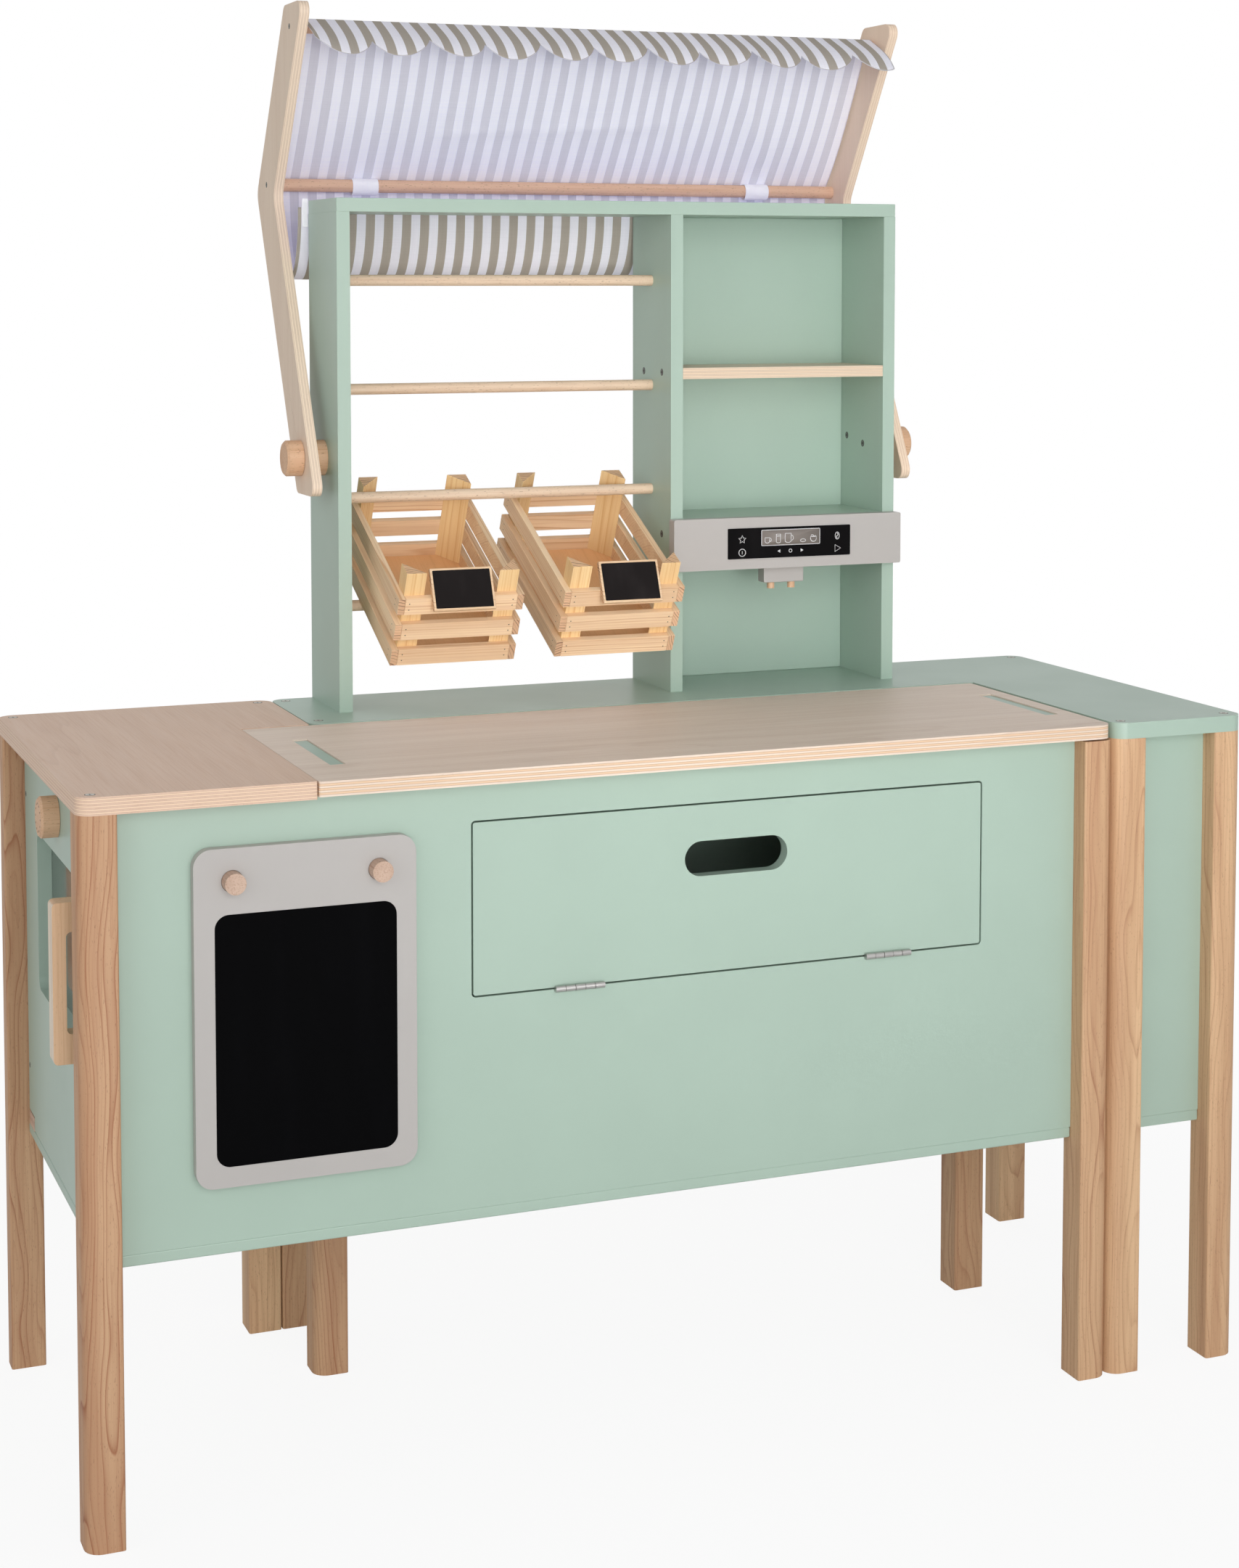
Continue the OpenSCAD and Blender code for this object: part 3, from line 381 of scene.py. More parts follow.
def drawing(tree, tilt=0.0, origin=(0.0, 0.0, 0.0)):
    """Object coordinates as drawing millimetres, counted from an origin and turned back by a tilt round x."""
    place = tree.nodes.new("ShaderNodeTexCoord").outputs["Object"]
    back = np.array([[1, 0, 0], [0, cos(tilt), sin(tilt)], [0, -sin(tilt), cos(tilt)]])
    return add(tree, "Mapping", place, tuple(back @ (CENTRE - origin)), (-tilt, 0, 0), (1000,) * 3)


def grain_along(tree, place, axis):
    """The place with its parts put in the order across, through, along the grain."""
    order = {"x": (1, 2, 0), "y": (0, 2, 1), "z": (0, 1, 2)}[axis]
    part = split(tree, place)
    return add(tree, "CombineXYZ", *(part[i] for i in order))


def bump(tree, bsdf, height, depth):
    """Surface relief: a height of 0 to 1 stands for a depth in millimetres."""
    node = tree.nodes.new("ShaderNodeBump")
    feed_in(tree, node, Strength=1.0, Distance=depth / 1000, Height=height)
    tree.links.new(node.outputs[0], bsdf.inputs["Normal"])


def coat(tree, bsdf, colour, wander, low, high):
    """A base colour, and a roughness from low to high that follows a wandering value."""
    feed_in(tree, bsdf, Base_Color=colour, Roughness=smooth(tree, wander, 0.3, 0.7, low, high))


def lacquer(name, colour, rough):
    """Sprayed lacquer: one colour, a little cloudier and shinier in places, with orange peel."""
    made, tree, bsdf = shader(name)
    skin = use(tree, lacquer_skin, Place=drawing(tree))
    cloudy = tint(tree, smooth(tree, skin["Cloud"], 0.3, 0.7), times(colour, 0.985), times(colour, 1.015))
    sheen = smooth(tree, skin["Cloud"], 0.25, 0.75, rough + 0.02, rough - 0.02)
    feed_in(tree, bsdf, Base_Color=cloudy, Roughness=sheen)
    bump(tree, bsdf, skin["Peel"], 0.02)
    return made


mint = lacquer("mint_lacquer", srgb(172, 194, 180), 0.36)
grey = lacquer("grey_lacquer", srgb(183, 179, 176), 0.46)
print("lacquers:", mint.name, grey.name)

# %% Timber
def wood_colour(tree, figure, pale, line, fleck, growth, streak, flecks, warm):
    """Pale wood, warmed by its tone, drawn over with growth lines, fine streaks and flecks."""
    base = tint(tree, smooth(tree, figure["Tone"], 0.3, 0.7), pale, tint(tree, warm, pale, line))
    lines = calc(tree, "MULTIPLY", figure["Growth"], growth)
    base = tint(tree, lines, base, line)
    fine = smooth(tree, figure["Streak"], 0.48, 0.72, 0.0, streak)
    base = tint(tree, fine, base, line)
    return tint(tree, calc(tree, "MULTIPLY", figure["Fleck"], flecks), base, fleck)


LONG, BOX = 4000.0, 60.0
CELLS = {"x": (LONG, BOX, BOX), "y": (BOX, LONG, BOX), "z": (BOX, BOX, LONG)}


def timber(
    name, axis, pale, line, cell=None, start=(20.0, 20.0, 0.0), ring=5.0, wander=10.0, growth=0.25, streak=0.4,
    flecks=0.7, warm=0.28, other=None, edge=None,
):
    """Solid wood. Boxes of the size cell, counted from start, each hold one plank with a pith, a figure and, between
    the colours pale and other, a tone of its own. edge, if given, is painted light: a paler colour on the faces
    turned to the sides."""
    made, tree, bsdf = shader(name)
    cell = cell or CELLS[axis]
    place = vector(tree, "ADD", drawing(tree), start)
    box = vector(tree, "FLOOR", vector(tree, "DIVIDE", place, cell))
    seed = calc(tree, "FRACT", calc(tree, "ADD", vector(tree, "DOT_PRODUCT", box, (0.4361, 0.377, 0.251), out=1), 0.1))
    middle = vector(tree, "MULTIPLY_ADD", box, cell, tuple(side / 2 for side in cell))
    home = vector(tree, "SUBTRACT", place, middle)
    figure = use(tree, plank_figure, Place=grain_along(tree, home, axis), Ring=ring, Wander=wander, Seed=seed)
    base = tint(tree, seed, pale, other or pale)
    dark = tint(tree, 0.6, line, (0.05, 0.02, 0.01, 1))
    growth = calc(tree, "MULTIPLY", calc(tree, "MULTIPLY_ADD", seed, -0.7, 1.15), growth)
    # Painted light: faces turned to the sides take the paler edge colour, as if more light fell on them.
    if edge:
        facing = split(tree, tree.nodes.new("ShaderNodeTexCoord").outputs["Normal"])[0]
        base = tint(tree, smooth(tree, calc(tree, "ABSOLUTE", facing), 0.6, 0.9), base, edge)
    colour = wood_colour(tree, figure, base, line, dark, growth, streak, flecks, warm)
    coat(tree, bsdf, colour, figure["Streak"], 0.49, 0.63)
    bump(tree, bsdf, figure["Streak"], 0.05)
    return made


BEECH = srgb(226, 188, 154), srgb(190, 138, 98)
leg_pine = timber(
    "leg_pine", "z", srgb(201, 160, 124), srgb(152, 90, 56), (49.654, 120.0, LONG), (4.02, 20.0, 0.0), 3.6, 60.0,
    growth=0.95, streak=0.26, flecks=0.35, warm=0.34, other=srgb(226, 188, 147),
)
beech_x, beech_z = (timber("beech_along_" + axis, axis, *BEECH) for axis in "xz")
roof_rod = timber("roof_rod_beech", "x", srgb(232, 193, 164), srgb(206, 158, 126))
# The oven handle's paler edge colour is painted light on its side faces.
handle_wood = timber(
    "handle_wood", "z", srgb(226, 190, 154), srgb(194, 148, 108), flecks=0.2, edge=srgb(240, 228, 210)
)
pale_rod = timber("pale_rod", "x", srgb(234, 210, 184), srgb(206, 166, 132))
peg_wood = timber("peg_wood", "y", srgb(206, 178, 158), srgb(160, 120, 100), streak=0.5)
WOODEN = beech_x, roof_rod, beech_z, pale_rod, peg_wood, handle_wood
print("timber:", leg_pine.name, [m.name for m in WOODEN])

# %% Crate wood and plywood
CRATE_TILT = radians(26)
CRATE_AT = {"left": (315.25, 252.441, 622.814), "right": (467.25, 252.441, 622.814)}
CRATE_W, CRATE_L, SLAT_T, SLAT_PITCH = 114.0, 178.0, 6.0, 26.0
POST_WOOD = srgb(246, 216, 164), srgb(214, 158, 92)
SLAT_WOOD = srgb(246, 217, 180), srgb(200, 146, 98)


def crate_wood(name, side, piece):
    """Pine in the tilted crate's own axes: side slats run along it, end slats across it and posts up it."""
    made, tree, bsdf = shader(name)
    place = drawing(tree, CRATE_TILT, CRATE_AT[side])
    if piece == "posts":
        plank = place
        box = vector(tree, "FLOOR", vector(tree, "DIVIDE", place, (CRATE_W / 2, CRATE_L / 2, LONG)))
    elif piece == "price":
        plank, box = grain_along(tree, place, "x"), (3.0, 1.0, 2.0)
    else:
        x, y, z = split(tree, place)
        off = calc(tree, "ABSOLUTE", calc(tree, "SUBTRACT", x, CRATE_W / 2))
        flank = calc(tree, "GREATER_THAN", off, CRATE_W / 2 - SLAT_T)
        plank = tint(tree, flank, grain_along(tree, place, "x"), grain_along(tree, place, "y"))
        row = calc(tree, "FLOOR", calc(tree, "DIVIDE", z, SLAT_PITCH))
        flank_id = calc(tree, "MULTIPLY_ADD", flank, 3.0, calc(tree, "GREATER_THAN", x, CRATE_W / 2))
        end_id = calc(tree, "MULTIPLY", calc(tree, "GREATER_THAN", y, CRATE_L / 2), calc(tree, "SUBTRACT", 1.0, flank))
        own = calc(tree, "MULTIPLY", flank_id, flank)
        box = add(tree, "CombineXYZ", own, end_id, row)
    box = vector(tree, "ADD", box, (7.0 * (side == "right"), 0.0, 0.0))
    seed = add(tree, "TexWhiteNoise", box, noise_dimensions="3D", out=0)
    figure = use(tree, plank_figure, Place=plank, Ring=2.6, Wander=9.0, Seed=seed)
    pale, line = POST_WOOD if piece == "posts" else SLAT_WOOD
    colour = wood_colour(tree, figure, pale, line, srgb(140, 90, 50), 1.0, 0.3, 0.0, 0.28)
    facing = tree.nodes.new("ShaderNodeTexCoord").outputs["Normal"]
    c, s = cos(CRATE_TILT), sin(CRATE_TILT)
    along = {"posts": (0, -s, c), "slats": (0, c, s), "price": (1, 0, 0)}[piece]
    cut = smooth(tree, calc(tree, "ABSOLUTE", vector(tree, "DOT_PRODUCT", facing, along, out=1)), 0.8, 0.95, 0.0, 0.8)
    if piece == "slats":
        cut = calc(tree, "MULTIPLY", cut, flank)
    end_grain = tint(tree, smooth(tree, figure["Growth"], 0.02, 0.3), srgb(220, 178, 142), srgb(112, 70, 58))
    colour = tint(tree, cut, colour, end_grain)
    tone = calc(tree, "MULTIPLY_ADD", seed, 0.2, 0.9)
    coat(tree, bsdf, dim(tree, colour, tone), figure["Streak"], 0.5, 0.64)
    bump(tree, bsdf, figure["Streak"], 0.05)
    return made


def plywood(name, through, start, thickness, plies, axis, tones, seed=0.21, tilt=0.0, origin=(0.0, 0.0, 0.0)):
    """Plywood: layers counted from a start along the axis through the board; every other layer is cross grain, which
    cuts paler or darker at the edge, and a thin glue line parts them. The outer layers show the face veneer's long
    figure. The tones are those of the face, the lines and the cross layers."""
    made, tree, bsdf = shader(name)
    face, line, cross = (srgb(*tone) for tone in tones)
    ply = thickness / plies
    place = drawing(tree, tilt, origin)
    depth = calc(tree, "SUBTRACT", split(tree, place)["xyz".index(through)], start)
    depth = calc(tree, "MINIMUM", calc(tree, "MAXIMUM", depth, 0.3 * ply), (plies - 0.3) * ply)
    layers = use(tree, ply_layers, Depth=depth, Ply=ply)
    figure = use(tree, plank_figure, Place=grain_along(tree, place, axis), Ring=14.0, Wander=90.0, Seed=seed)
    veneer = wood_colour(tree, figure, face, line, tint(tree, 0.5, line, (0.1, 0.05, 0.03, 1)), 0.14, 0.1, 0.12, 0.1)
    inner = tint(tree, smooth(tree, figure["Fleck"], 0.2, 0.8, 0.0, 0.12), cross, line)
    colour = tint(tree, layers["Cross"], veneer, inner)
    colour = tint(tree, calc(tree, "MULTIPLY", layers["Glue"], 0.65), colour, line)
    coat(tree, bsdf, colour, figure["Streak"], 0.44, 0.58)
    bump(tree, bsdf, figure["Streak"], 0.04)
    return made


ARM_T, ARM_LEFT, ARM_RIGHT = 9.0, 262.7, 843.3
top_ply = plywood("counter_plywood", "z", 562, 14, 11, "y", ((226, 195, 172), (168, 120, 92), (236, 208, 182)))
lid_ply = plywood("lid_plywood", "z", 563.5, 12, 7, "x", ((238, 220, 204), (164, 116, 82), (230, 198, 164)), 0.63)
board_ply = plywood("shelf_plywood", "z", 866, 10.5, 7, "x", ((228, 209, 186), (170, 128, 96), (232, 210, 184)), 0.81)
# Painted light: the right arm's tones are a little paler than the left arm's, making up for light its faces lack.
arm_left_ply = plywood(
    "left_arm_plywood", "x", ARM_LEFT, ARM_T, 7, "z", ((234, 213, 191), (194, 160, 132), (246, 226, 204)), 0.45
)
arm_right_ply = plywood(
    "right_arm_plywood", "x", ARM_RIGHT, ARM_T, 7, "z", ((240, 214, 190), (200, 164, 134), (248, 226, 202)), 0.57
)
FLOOR_TONES = (236, 188, 138), (186, 136, 90), (224, 184, 138)
floor_ply = {
    side: plywood(f"{side}_crate_plywood", "z", 0.0, 4, 3, "y", FLOOR_TONES, tilt=CRATE_TILT, origin=at)
    for side, at in CRATE_AT.items()
}
print("plywoods:", [m.name for m in bpy.data.materials if "plywood" in m.name])

# %% Slate, display, metal, pane and webbing
def slate_face(name, colour, rough):
    """Chalkboard paint: dead black with the faint grey bloom of wiped chalk."""
    made, tree, bsdf = shader(name)
    place = drawing(tree)
    skin = use(tree, lacquer_skin, Place=place)
    wiped = noise(tree, place, (0.03, 0.03, 0.008), 4.0)
    bloom = tint(tree, smooth(tree, wiped, 0.45, 0.8), colour, times(colour, 1.7))
    coat(tree, bsdf, bloom, wiped, rough, rough + 0.12)
    bump(tree, bsdf, skin["Peel"], 0.03)
    feed_in(tree, bsdf, Specular_IOR_Level=0.03)
    return made


slate = slate_face("chalkboard_black", srgb(5, 5, 6), 0.62)
price_black = slate_face("price_board_black", srgb(34, 31, 31), 0.7)
display_black = slate_face("display_black", srgb(16, 15, 16), 0.34)


def speckled(name, grain, deep, pale, low, high, metal=0.0):
    """A small hard finish: the colour goes from deep to pale and the roughness from low to high with fine noise."""
    made, tree, bsdf = shader(name)
    spots = noise(tree, drawing(tree), grain, 3.0)
    coat(tree, bsdf, tint(tree, spots, deep, pale), spots, low, high)
    feed_in(tree, bsdf, Metallic=metal)
    return made


steel = speckled("hinge_steel", (0.12, 2.0, 2.0), srgb(168, 166, 164), srgb(206, 204, 202), 0.28, 0.42, 1.0)
zinc = speckled("zinc_heads", (0.8,) * 3, srgb(176, 172, 164), srgb(216, 212, 204), 0.32, 0.48, 0.8)
dark_steel = speckled("dark_heads", (0.8,) * 3, srgb(92, 94, 92), srgb(128, 130, 126), 0.36, 0.5, 0.6)
# Painted shade: the dark discs round the screw heads stand for the shadow in their holes; the crate nails, whose heads
# are dark, share this finish.
nail_heads_and_painted_shade = speckled("nail_heads_and_hole_shadows", (1.2,) * 3, srgb(44, 40, 36), srgb(72, 66, 58), 0.7, 0.85)
burnt = speckled("burnt_dots", (1.5,) * 3, srgb(96, 68, 50), srgb(136, 100, 76), 0.6, 0.8)

pane, tree, bsdf = shader("oven_pane")
skin = use(tree, lacquer_skin, Place=drawing(tree))
coat(tree, bsdf, (0.93, 0.96, 0.95, 1), skin["Cloud"], 0.03, 0.09)
feed_in(tree, bsdf, Transmission_Weight=1.0, IOR=1.46)

webbing, tree, bsdf = shader("white_webbing")
ribs = use(tree, woven_threads, Place=drawing(tree), Pitch=1.1)
coat(tree, bsdf, tint(tree, ribs["Slub"], srgb(242, 241, 248), srgb(254, 253, 255)), ribs["Slub"], 0.7, 0.85)
# Painted light: a faint blue glow makes the white webbing brighter than the lamps alone make it.
feed_in(tree, bsdf, Emission_Color=(0.7, 0.68, 1.0, 1.0), Emission_Strength=0.06)
bump(tree, bsdf, ribs["Height"], 0.12)
print("small finishes ready")

# %% Give the CAD nodes their finishes
crate_parts = {
    f"crate_{side}_{part}": crate_wood(f"{side}_crate_{part}", side, kind)
    for side in CRATE_AT
    for part, kind in (("slats", "slats"), ("posts", "posts"), ("price_board", "price"))
}
FINISH = {
    mint: """front_panel oven_partition right_end_panel front_back_panel oven_back_panel front_floor flap oven_door
        rear_top rear_floor wing_front_panel wing_inner_panel rear_front_panel right_side_panel rear_left_panel
        rear_back_panel shelf_left shelf_divider shelf_right shelf_top shelf_back machine_shelf""",
    grey: "chalkboard_frame machine_front machine_spout",
    leg_pine: "front_legs rear_legs",
    beech_x: "oven_knob awning_spacers awning_knob_left awning_knob_right",
    roof_rod: "awning_rods",
    pale_rod: "hanging_rods",
    peg_wood: "chalkboard_pegs pivot_block",
    beech_z: "spout_nozzles",
    handle_wood: "oven_handle",
    top_ply: "counter_top",
    lid_ply: "counter_lid",
    board_ply: "shelf_board",
    arm_left_ply: "awning_arm_left",
    arm_right_ply: "awning_arm_right",
    slate: "chalkboard_slate",
    display_black: "machine_display",
    steel: "hinge_fixed_leaves hinge_flap_leaves oven_door_pins",
    pane: "oven_window",
    **{floor_ply[side]: f"crate_{side}_floor" for side in CRATE_AT},
}
dressed = {name: material for material, names in FINISH.items() for name in names.split()}
dressed.update(crate_parts)
for name, material in dressed.items():
    nodes[name].data.materials.clear()
    nodes[name].data.materials.append(material)
print(len(dressed), "nodes dressed, left:", sorted(set(nodes) - set(dressed)))

# %% [markdown]
# ## Eased edges
# No board leaves a workshop with knife edges: sanding and lacquer round them, and the light that they catch makes a
# model look real. The CAD meshes are loose triangles and stay as they are; modifiers do the work. A small geometry
# tree merges the points and smooths the faces of round parts, and a Bevel after it rounds the edges that are left.

# %% Merge, smooth and bevel
SHARP = radians(32)
joiner = bpy.data.node_groups.new("merge_and_smooth", "GeometryNodeTree")
for way in ("INPUT", "OUTPUT"):
    joiner.interface.new_socket("Geometry", in_out=way, socket_type="NodeSocketGeometry")
start, end = joiner.nodes.new("NodeGroupInput"), joiner.nodes.new("NodeGroupOutput")
bare = joiner.nodes.new("GeometryNodeRemoveAttribute")
bare.inputs["Name"].default_value = "custom_normal"
merge = joiner.nodes.new("GeometryNodeMergeByDistance")
merge.inputs["Distance"].default_value = 2e-5
faces = joiner.nodes.new("GeometryNodeSetShadeSmooth")
corners = joiner.nodes.new("GeometryNodeSetShadeSmooth")
corners.domain = "EDGE"
corners.inputs["Shade Smooth"].default_value = False
angle = joiner.nodes.new("GeometryNodeInputMeshEdgeAngle")
sharp = joiner.nodes.new("FunctionNodeCompare")
sharp.inputs[1].default_value = SHARP
chain = start, bare, merge, faces, corners, end
for a, b in (*zip(chain, chain[1:]), (angle, sharp)):
    joiner.links.new(a.outputs[0], b.inputs[0])
joiner.links.new(sharp.outputs[0], corners.inputs["Selection"])


def ease(name, width):
    """Rounds a CAD node's edges to a width in millimetres."""
    node = nodes[name]
    node.modifiers.new("merge_and_smooth", "NODES").node_group = joiner
    if width:
        bevel = node.modifiers.new("eased_edges", "BEVEL")
        bevel.width, bevel.segments, bevel.limit_method = width / 1000, 2, "ANGLE"
        bevel.angle_limit = SHARP
        bevel.harden_normals = True


EASE = {mint: 0.7, grey: 0.9, leg_pine: 0.8, top_ply: 0.9, lid_ply: 0.7, board_ply: 0.6, steel: 0.35}
EASE.update({arm_left_ply: 0.9, arm_right_ply: 0.9, **dict.fromkeys(WOODEN, 0.4)})
for name, material in dressed.items():
    seam = name in ("front_floor", "rear_floor")
    ease(name, 1.3 if seam else EASE.get(material, 0.4 if "crate" in name else 0.0))
print("eased", sum(len(n.modifiers) == 2 for n in nodes.values()), "nodes")

# %% [markdown]
# ## Awning cloth
# On the real stall one striped cloth runs from the shelf's rear edge down in a slack loop, up behind the mid rod, over
# the top rod and down to a scalloped hem. A cloth simulation could hang it, but its line is set by the rods, so the
# sheet is written down directly: a path in side view, carried across the width, with soft creases added.

# %% Roof cloth and valance
MID_ROD, TOP_ROD = np.array([465.5, 1045.25]), np.array([377.314, 1183.0])
CLOTH_X0, CLOTH_X1, SCALLOPS = 274.7, 840.3, 10.75
WRAP_MID, WRAP_TOP, SAG = 8.0, 6.9, 6.0
VALANCE, FALL, HANG, DROP = 64.0, radians(24), radians(58), 14.0
ARM_BEND, ARM_TOP = np.array([471.5, 1036.0]), np.array([364.5, 1203.0])
up = (ARM_TOP - ARM_BEND) / np.linalg.norm(ARM_TOP - ARM_BEND)
back = np.array([up[1], -up[0]])


def circle(angle):
    """Points on a circle of radius 1."""
    return np.stack([np.cos(angle), np.sin(angle)], -1)


def arc(mid, radius, start, end, steps):
    """Points round a rod: its middle plus the radius at angles from start to end."""
    return mid + radius * circle(np.linspace(start, end, steps))


def along_path(path):
    """Distance along a path at each of its points."""
    return np.concatenate([[0], np.cumsum(np.hypot(*np.diff(path, axis=0).T))])


def even(path, count):
    """The same path with its points an even distance apart."""
    s = along_path(path)
    t = np.linspace(0, s[-1], count)
    return np.stack([np.interp(t, s, path[:, 0]), np.interp(t, s, path[:, 1])], -1)


def normals(path):
    """Unit normals of a path in side view: its direction turned a quarter to the left."""
    d = np.gradient(path, axis=0)
    return np.stack([-d[:, 1], d[:, 0]], -1) / np.hypot(d[:, 0], d[:, 1])[:, None]


foot, head, lean = MID_ROD + WRAP_MID * back, TOP_ROD + WRAP_TOP * back, np.arctan2(back[1], back[0])
t = np.linspace(0, 1, 60)[1:-1, None]
roof_line = foot + t * (head - foot) - SAG * np.sin(pi * t) * back
roof_path = np.concatenate(
    [arc(MID_ROD, WRAP_MID, 0, lean, 14), roof_line, arc(TOP_ROD, WRAP_TOP, lean, pi / 2 + FALL, 20)]
)
u = np.linspace(0, 1, 400)
grid_s = VALANCE * u
slope = FALL + (HANG - FALL) * u**3
fall = -circle(slope) * grid_s[1]
drape_path = roof_path[-1] + np.concatenate([[[0, 0]], np.cumsum(fall[:-1], axis=0)])

columns = np.linspace(CLOTH_X0, CLOTH_X1, int(SCALLOPS * 24) + 1)
scallop = (CLOTH_X1 - CLOTH_X0) / SCALLOPS
bulge = (scallop**2 / 4 + DROP**2) / (2 * DROP)
off = (columns - CLOTH_X0) % scallop - scallop / 2
edge_z = drape_path[-1, 1] + bulge - np.sqrt(bulge**2 - off**2)
reach = np.interp(-edge_z, -drape_path[:, 1], grid_s)

roof = even(roof_path, 80)
roof_s = along_path(roof)
ROOF_L = roof_s[-1]
v = np.concatenate([roof_s[:-1, None] * np.ones_like(columns), ROOF_L + np.linspace(0, 1, 34)[:, None] * reach])
both = np.concatenate([roof[:-1], drape_path])
both_s = np.concatenate([roof_s[:-1], ROOF_L + grid_s])
turned = normals(both)
across = np.broadcast_to(columns, v.shape)


def crease(x0, s0, x1, s1, width, height):
    """A soft ridge along the line from (x0, s0) to (x1, s1): a bell curve of the distance to that line."""
    d = np.array([x1 - x0, s1 - s0])
    along = np.clip(((across - x0) * d[0] + (v - s0) * d[1]) / (d @ d), 0, 1)
    away = np.hypot(across - x0 - along * d[0], v - s0 - along * d[1])
    return height * np.exp(-((away / width) ** 2))


held = np.sin(pi * np.clip((v - 12) / (ROOF_L - 26), 0, 1))
ripple = 0.8 * np.sin(across / 31 + v / 40) + 0.6 * np.sin(across / 17 - v / 55 + 1.0)
CREASES = (700, 150, 760, 40, 9, 2.2), (640, 120, 690, 30, 8, -1.6), (420, 60, 640, 75, 8, 1.2)
ripple = ripple + sum(crease(*line) for line in CREASES)
flutter = 2.2 * np.sin(2 * pi * across / (2 * scallop) + 0.8) + 1.0 * np.sin(across / 23)
loose = np.clip((v - ROOF_L) / VALANCE, 0, 1) ** 1.6
shift = held * ripple + loose * flutter
side = [np.interp(v, both_s, both[:, k]) + shift * np.interp(v, both_s, turned[:, k]) for k in (0, 1)]


def mark_rim(made, rim):
    """Keeps each point's distance to the cloth's rim, in millimetres, for the material."""
    made.data.attributes.new("rim_mm", "FLOAT", "POINT").data.foreach_set("value", rim.ravel().astype(np.float32))


roof_cloth = surface("roof_cloth", np.stack([across, *side], -1), uv=np.stack([across, v], -1) / 1000)
mark_rim(roof_cloth, np.minimum(np.minimum(across - CLOTH_X0, CLOTH_X1 - across), ROOF_L + reach - v))
print("roof", round(ROOF_L, 1), "mm and valance", VALANCE, "mm")

# %% Striped cloth
STRIPE_AT, STRIPE_PITCH, CLOTH_T = 325.5, 17.3, 0.7


def striped(name, white, taupe, bright):
    """Woven cotton with stripes along its length: taupe where the place across, counted in stripe widths, is in the
    middle half. A stitched line follows the rim. A faint blue glow is painted light: it stands in for the light
    that comes through the thin cloth."""
    made, tree, bsdf = shader(name)
    layer = tree.nodes.new("ShaderNodeUVMap")
    layer.uv_map = "cut"
    place = vector(tree, "SCALE", layer.outputs[0], None, None, 1000.0)
    threads = use(tree, woven_threads, Place=place, Pitch=0.55)
    count = calc(tree, "DIVIDE", calc(tree, "SUBTRACT", split(tree, place)[0], STRIPE_AT), STRIPE_PITCH)
    off = calc(tree, "ABSOLUTE", calc(tree, "SUBTRACT", calc(tree, "FRACT", calc(tree, "ADD", count, 0.5)), 0.5))
    stripe = smooth(tree, off, 0.235, 0.262, 1.0, 0.0)
    colour = tint(tree, stripe, white, taupe)
    rim = add(tree, "Attribute", attribute_name="rim_mm", out=2)
    bound = smooth(tree, rim, 0.5, 1.1, 1.0, 0.0)
    colour = tint(tree, calc(tree, "MULTIPLY", bound, 0.75), colour, taupe)
    shade = smooth(tree, threads["Slub"], 0.3, 0.7, 0.95, 1.0)
    coat(tree, bsdf, dim(tree, colour, shade), threads["Slub"], 0.8, 0.93)
    # Painted light: a faint blue glow, set per stripe, stands in for the light that comes through the thin cloth
    painted_glow = smooth(tree, stripe, 0.0, 1.0, *bright)
    feed_in(tree, bsdf, Specular_IOR_Level=0.08, Emission_Color=(0.3, 0.35, 1.0, 1.0), Emission_Strength=painted_glow)
    bump(tree, bsdf, threads["Height"], 0.08)
    return made


# The last pair of numbers is the painted glow on the white and on the taupe stripes.
printed = striped("cloth_print", srgb(244, 243, 246), srgb(179, 171, 161), (0.07, 0.0))
reverse = striped("cloth_reverse", srgb(252, 251, 254), srgb(223, 221, 223), (0.09, 0.08))


def cloth_wall(made):
    """Thickness for a sheet: the print on one side and its pale reverse on the other."""
    wall = made.modifiers.new("thickness", "SOLIDIFY")
    wall.thickness, wall.offset, wall.material_offset = CLOTH_T / 1000, 0, 1
    made.data.materials.append(printed)


finish_piece(roof_cloth, "awning", reverse)
cloth_wall(roof_cloth)
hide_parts("awning_cloth")

# %% Slack loop
SLACK_FOOT, SLACK_HEAD, PULL = np.array([397.9, 1023.0]), np.array([473.5, 1044.95]), 68 * 4 / 3
t = np.linspace(0, 1, 400)[:, None]
handles = SLACK_FOOT - [0, PULL], SLACK_HEAD - [0, PULL + SLACK_HEAD[1] - SLACK_FOOT[1]]
loop_path = (
    (1 - t) ** 3 * SLACK_FOOT + 3 * (1 - t) ** 2 * t * handles[0] + 3 * (1 - t) * t**2 * handles[1] + t**3 * SLACK_HEAD
)
slack = even(loop_path, 110)
loop_s = along_path(slack)
turned = normals(slack)
v = np.broadcast_to(loop_s[:, None], (len(loop_s), len(columns)))
across = np.broadcast_to(columns, v.shape)
free = np.sin(pi * loop_s / loop_s[-1])[:, None] ** 2
sway = free * (2.0 * np.sin(across / 44 + 0.6) + 1.2 * np.sin(across / 19 + v / 60))
points = np.stack([across, slack[:, :1] + sway * turned[:, :1], slack[:, 1:] + sway * turned[:, 1:]], -1)
slack_cloth = surface("slack_cloth", points, uv=np.stack([across, v + 400], -1) / 1000)
mark_rim(slack_cloth, np.minimum(across - CLOTH_X0, CLOTH_X1 - across))
slack_cloth.data.materials.append(reverse)
cloth_wall(slack_cloth)
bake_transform(slack_cloth)
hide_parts("awning_slack")
print("slack loop", round(loop_s[-1], 1), "mm long")

# %% Straps and fastening strip
def capped(rings):
    """Closes a tube of rings: one more ring at each end, drawn together to the middle of the end ring."""
    ends = [np.broadcast_to(ring.mean(0), ring.shape)[None] for ring in (rings[0], rings[-1])]
    return np.concatenate([ends[0], rings, ends[1]])


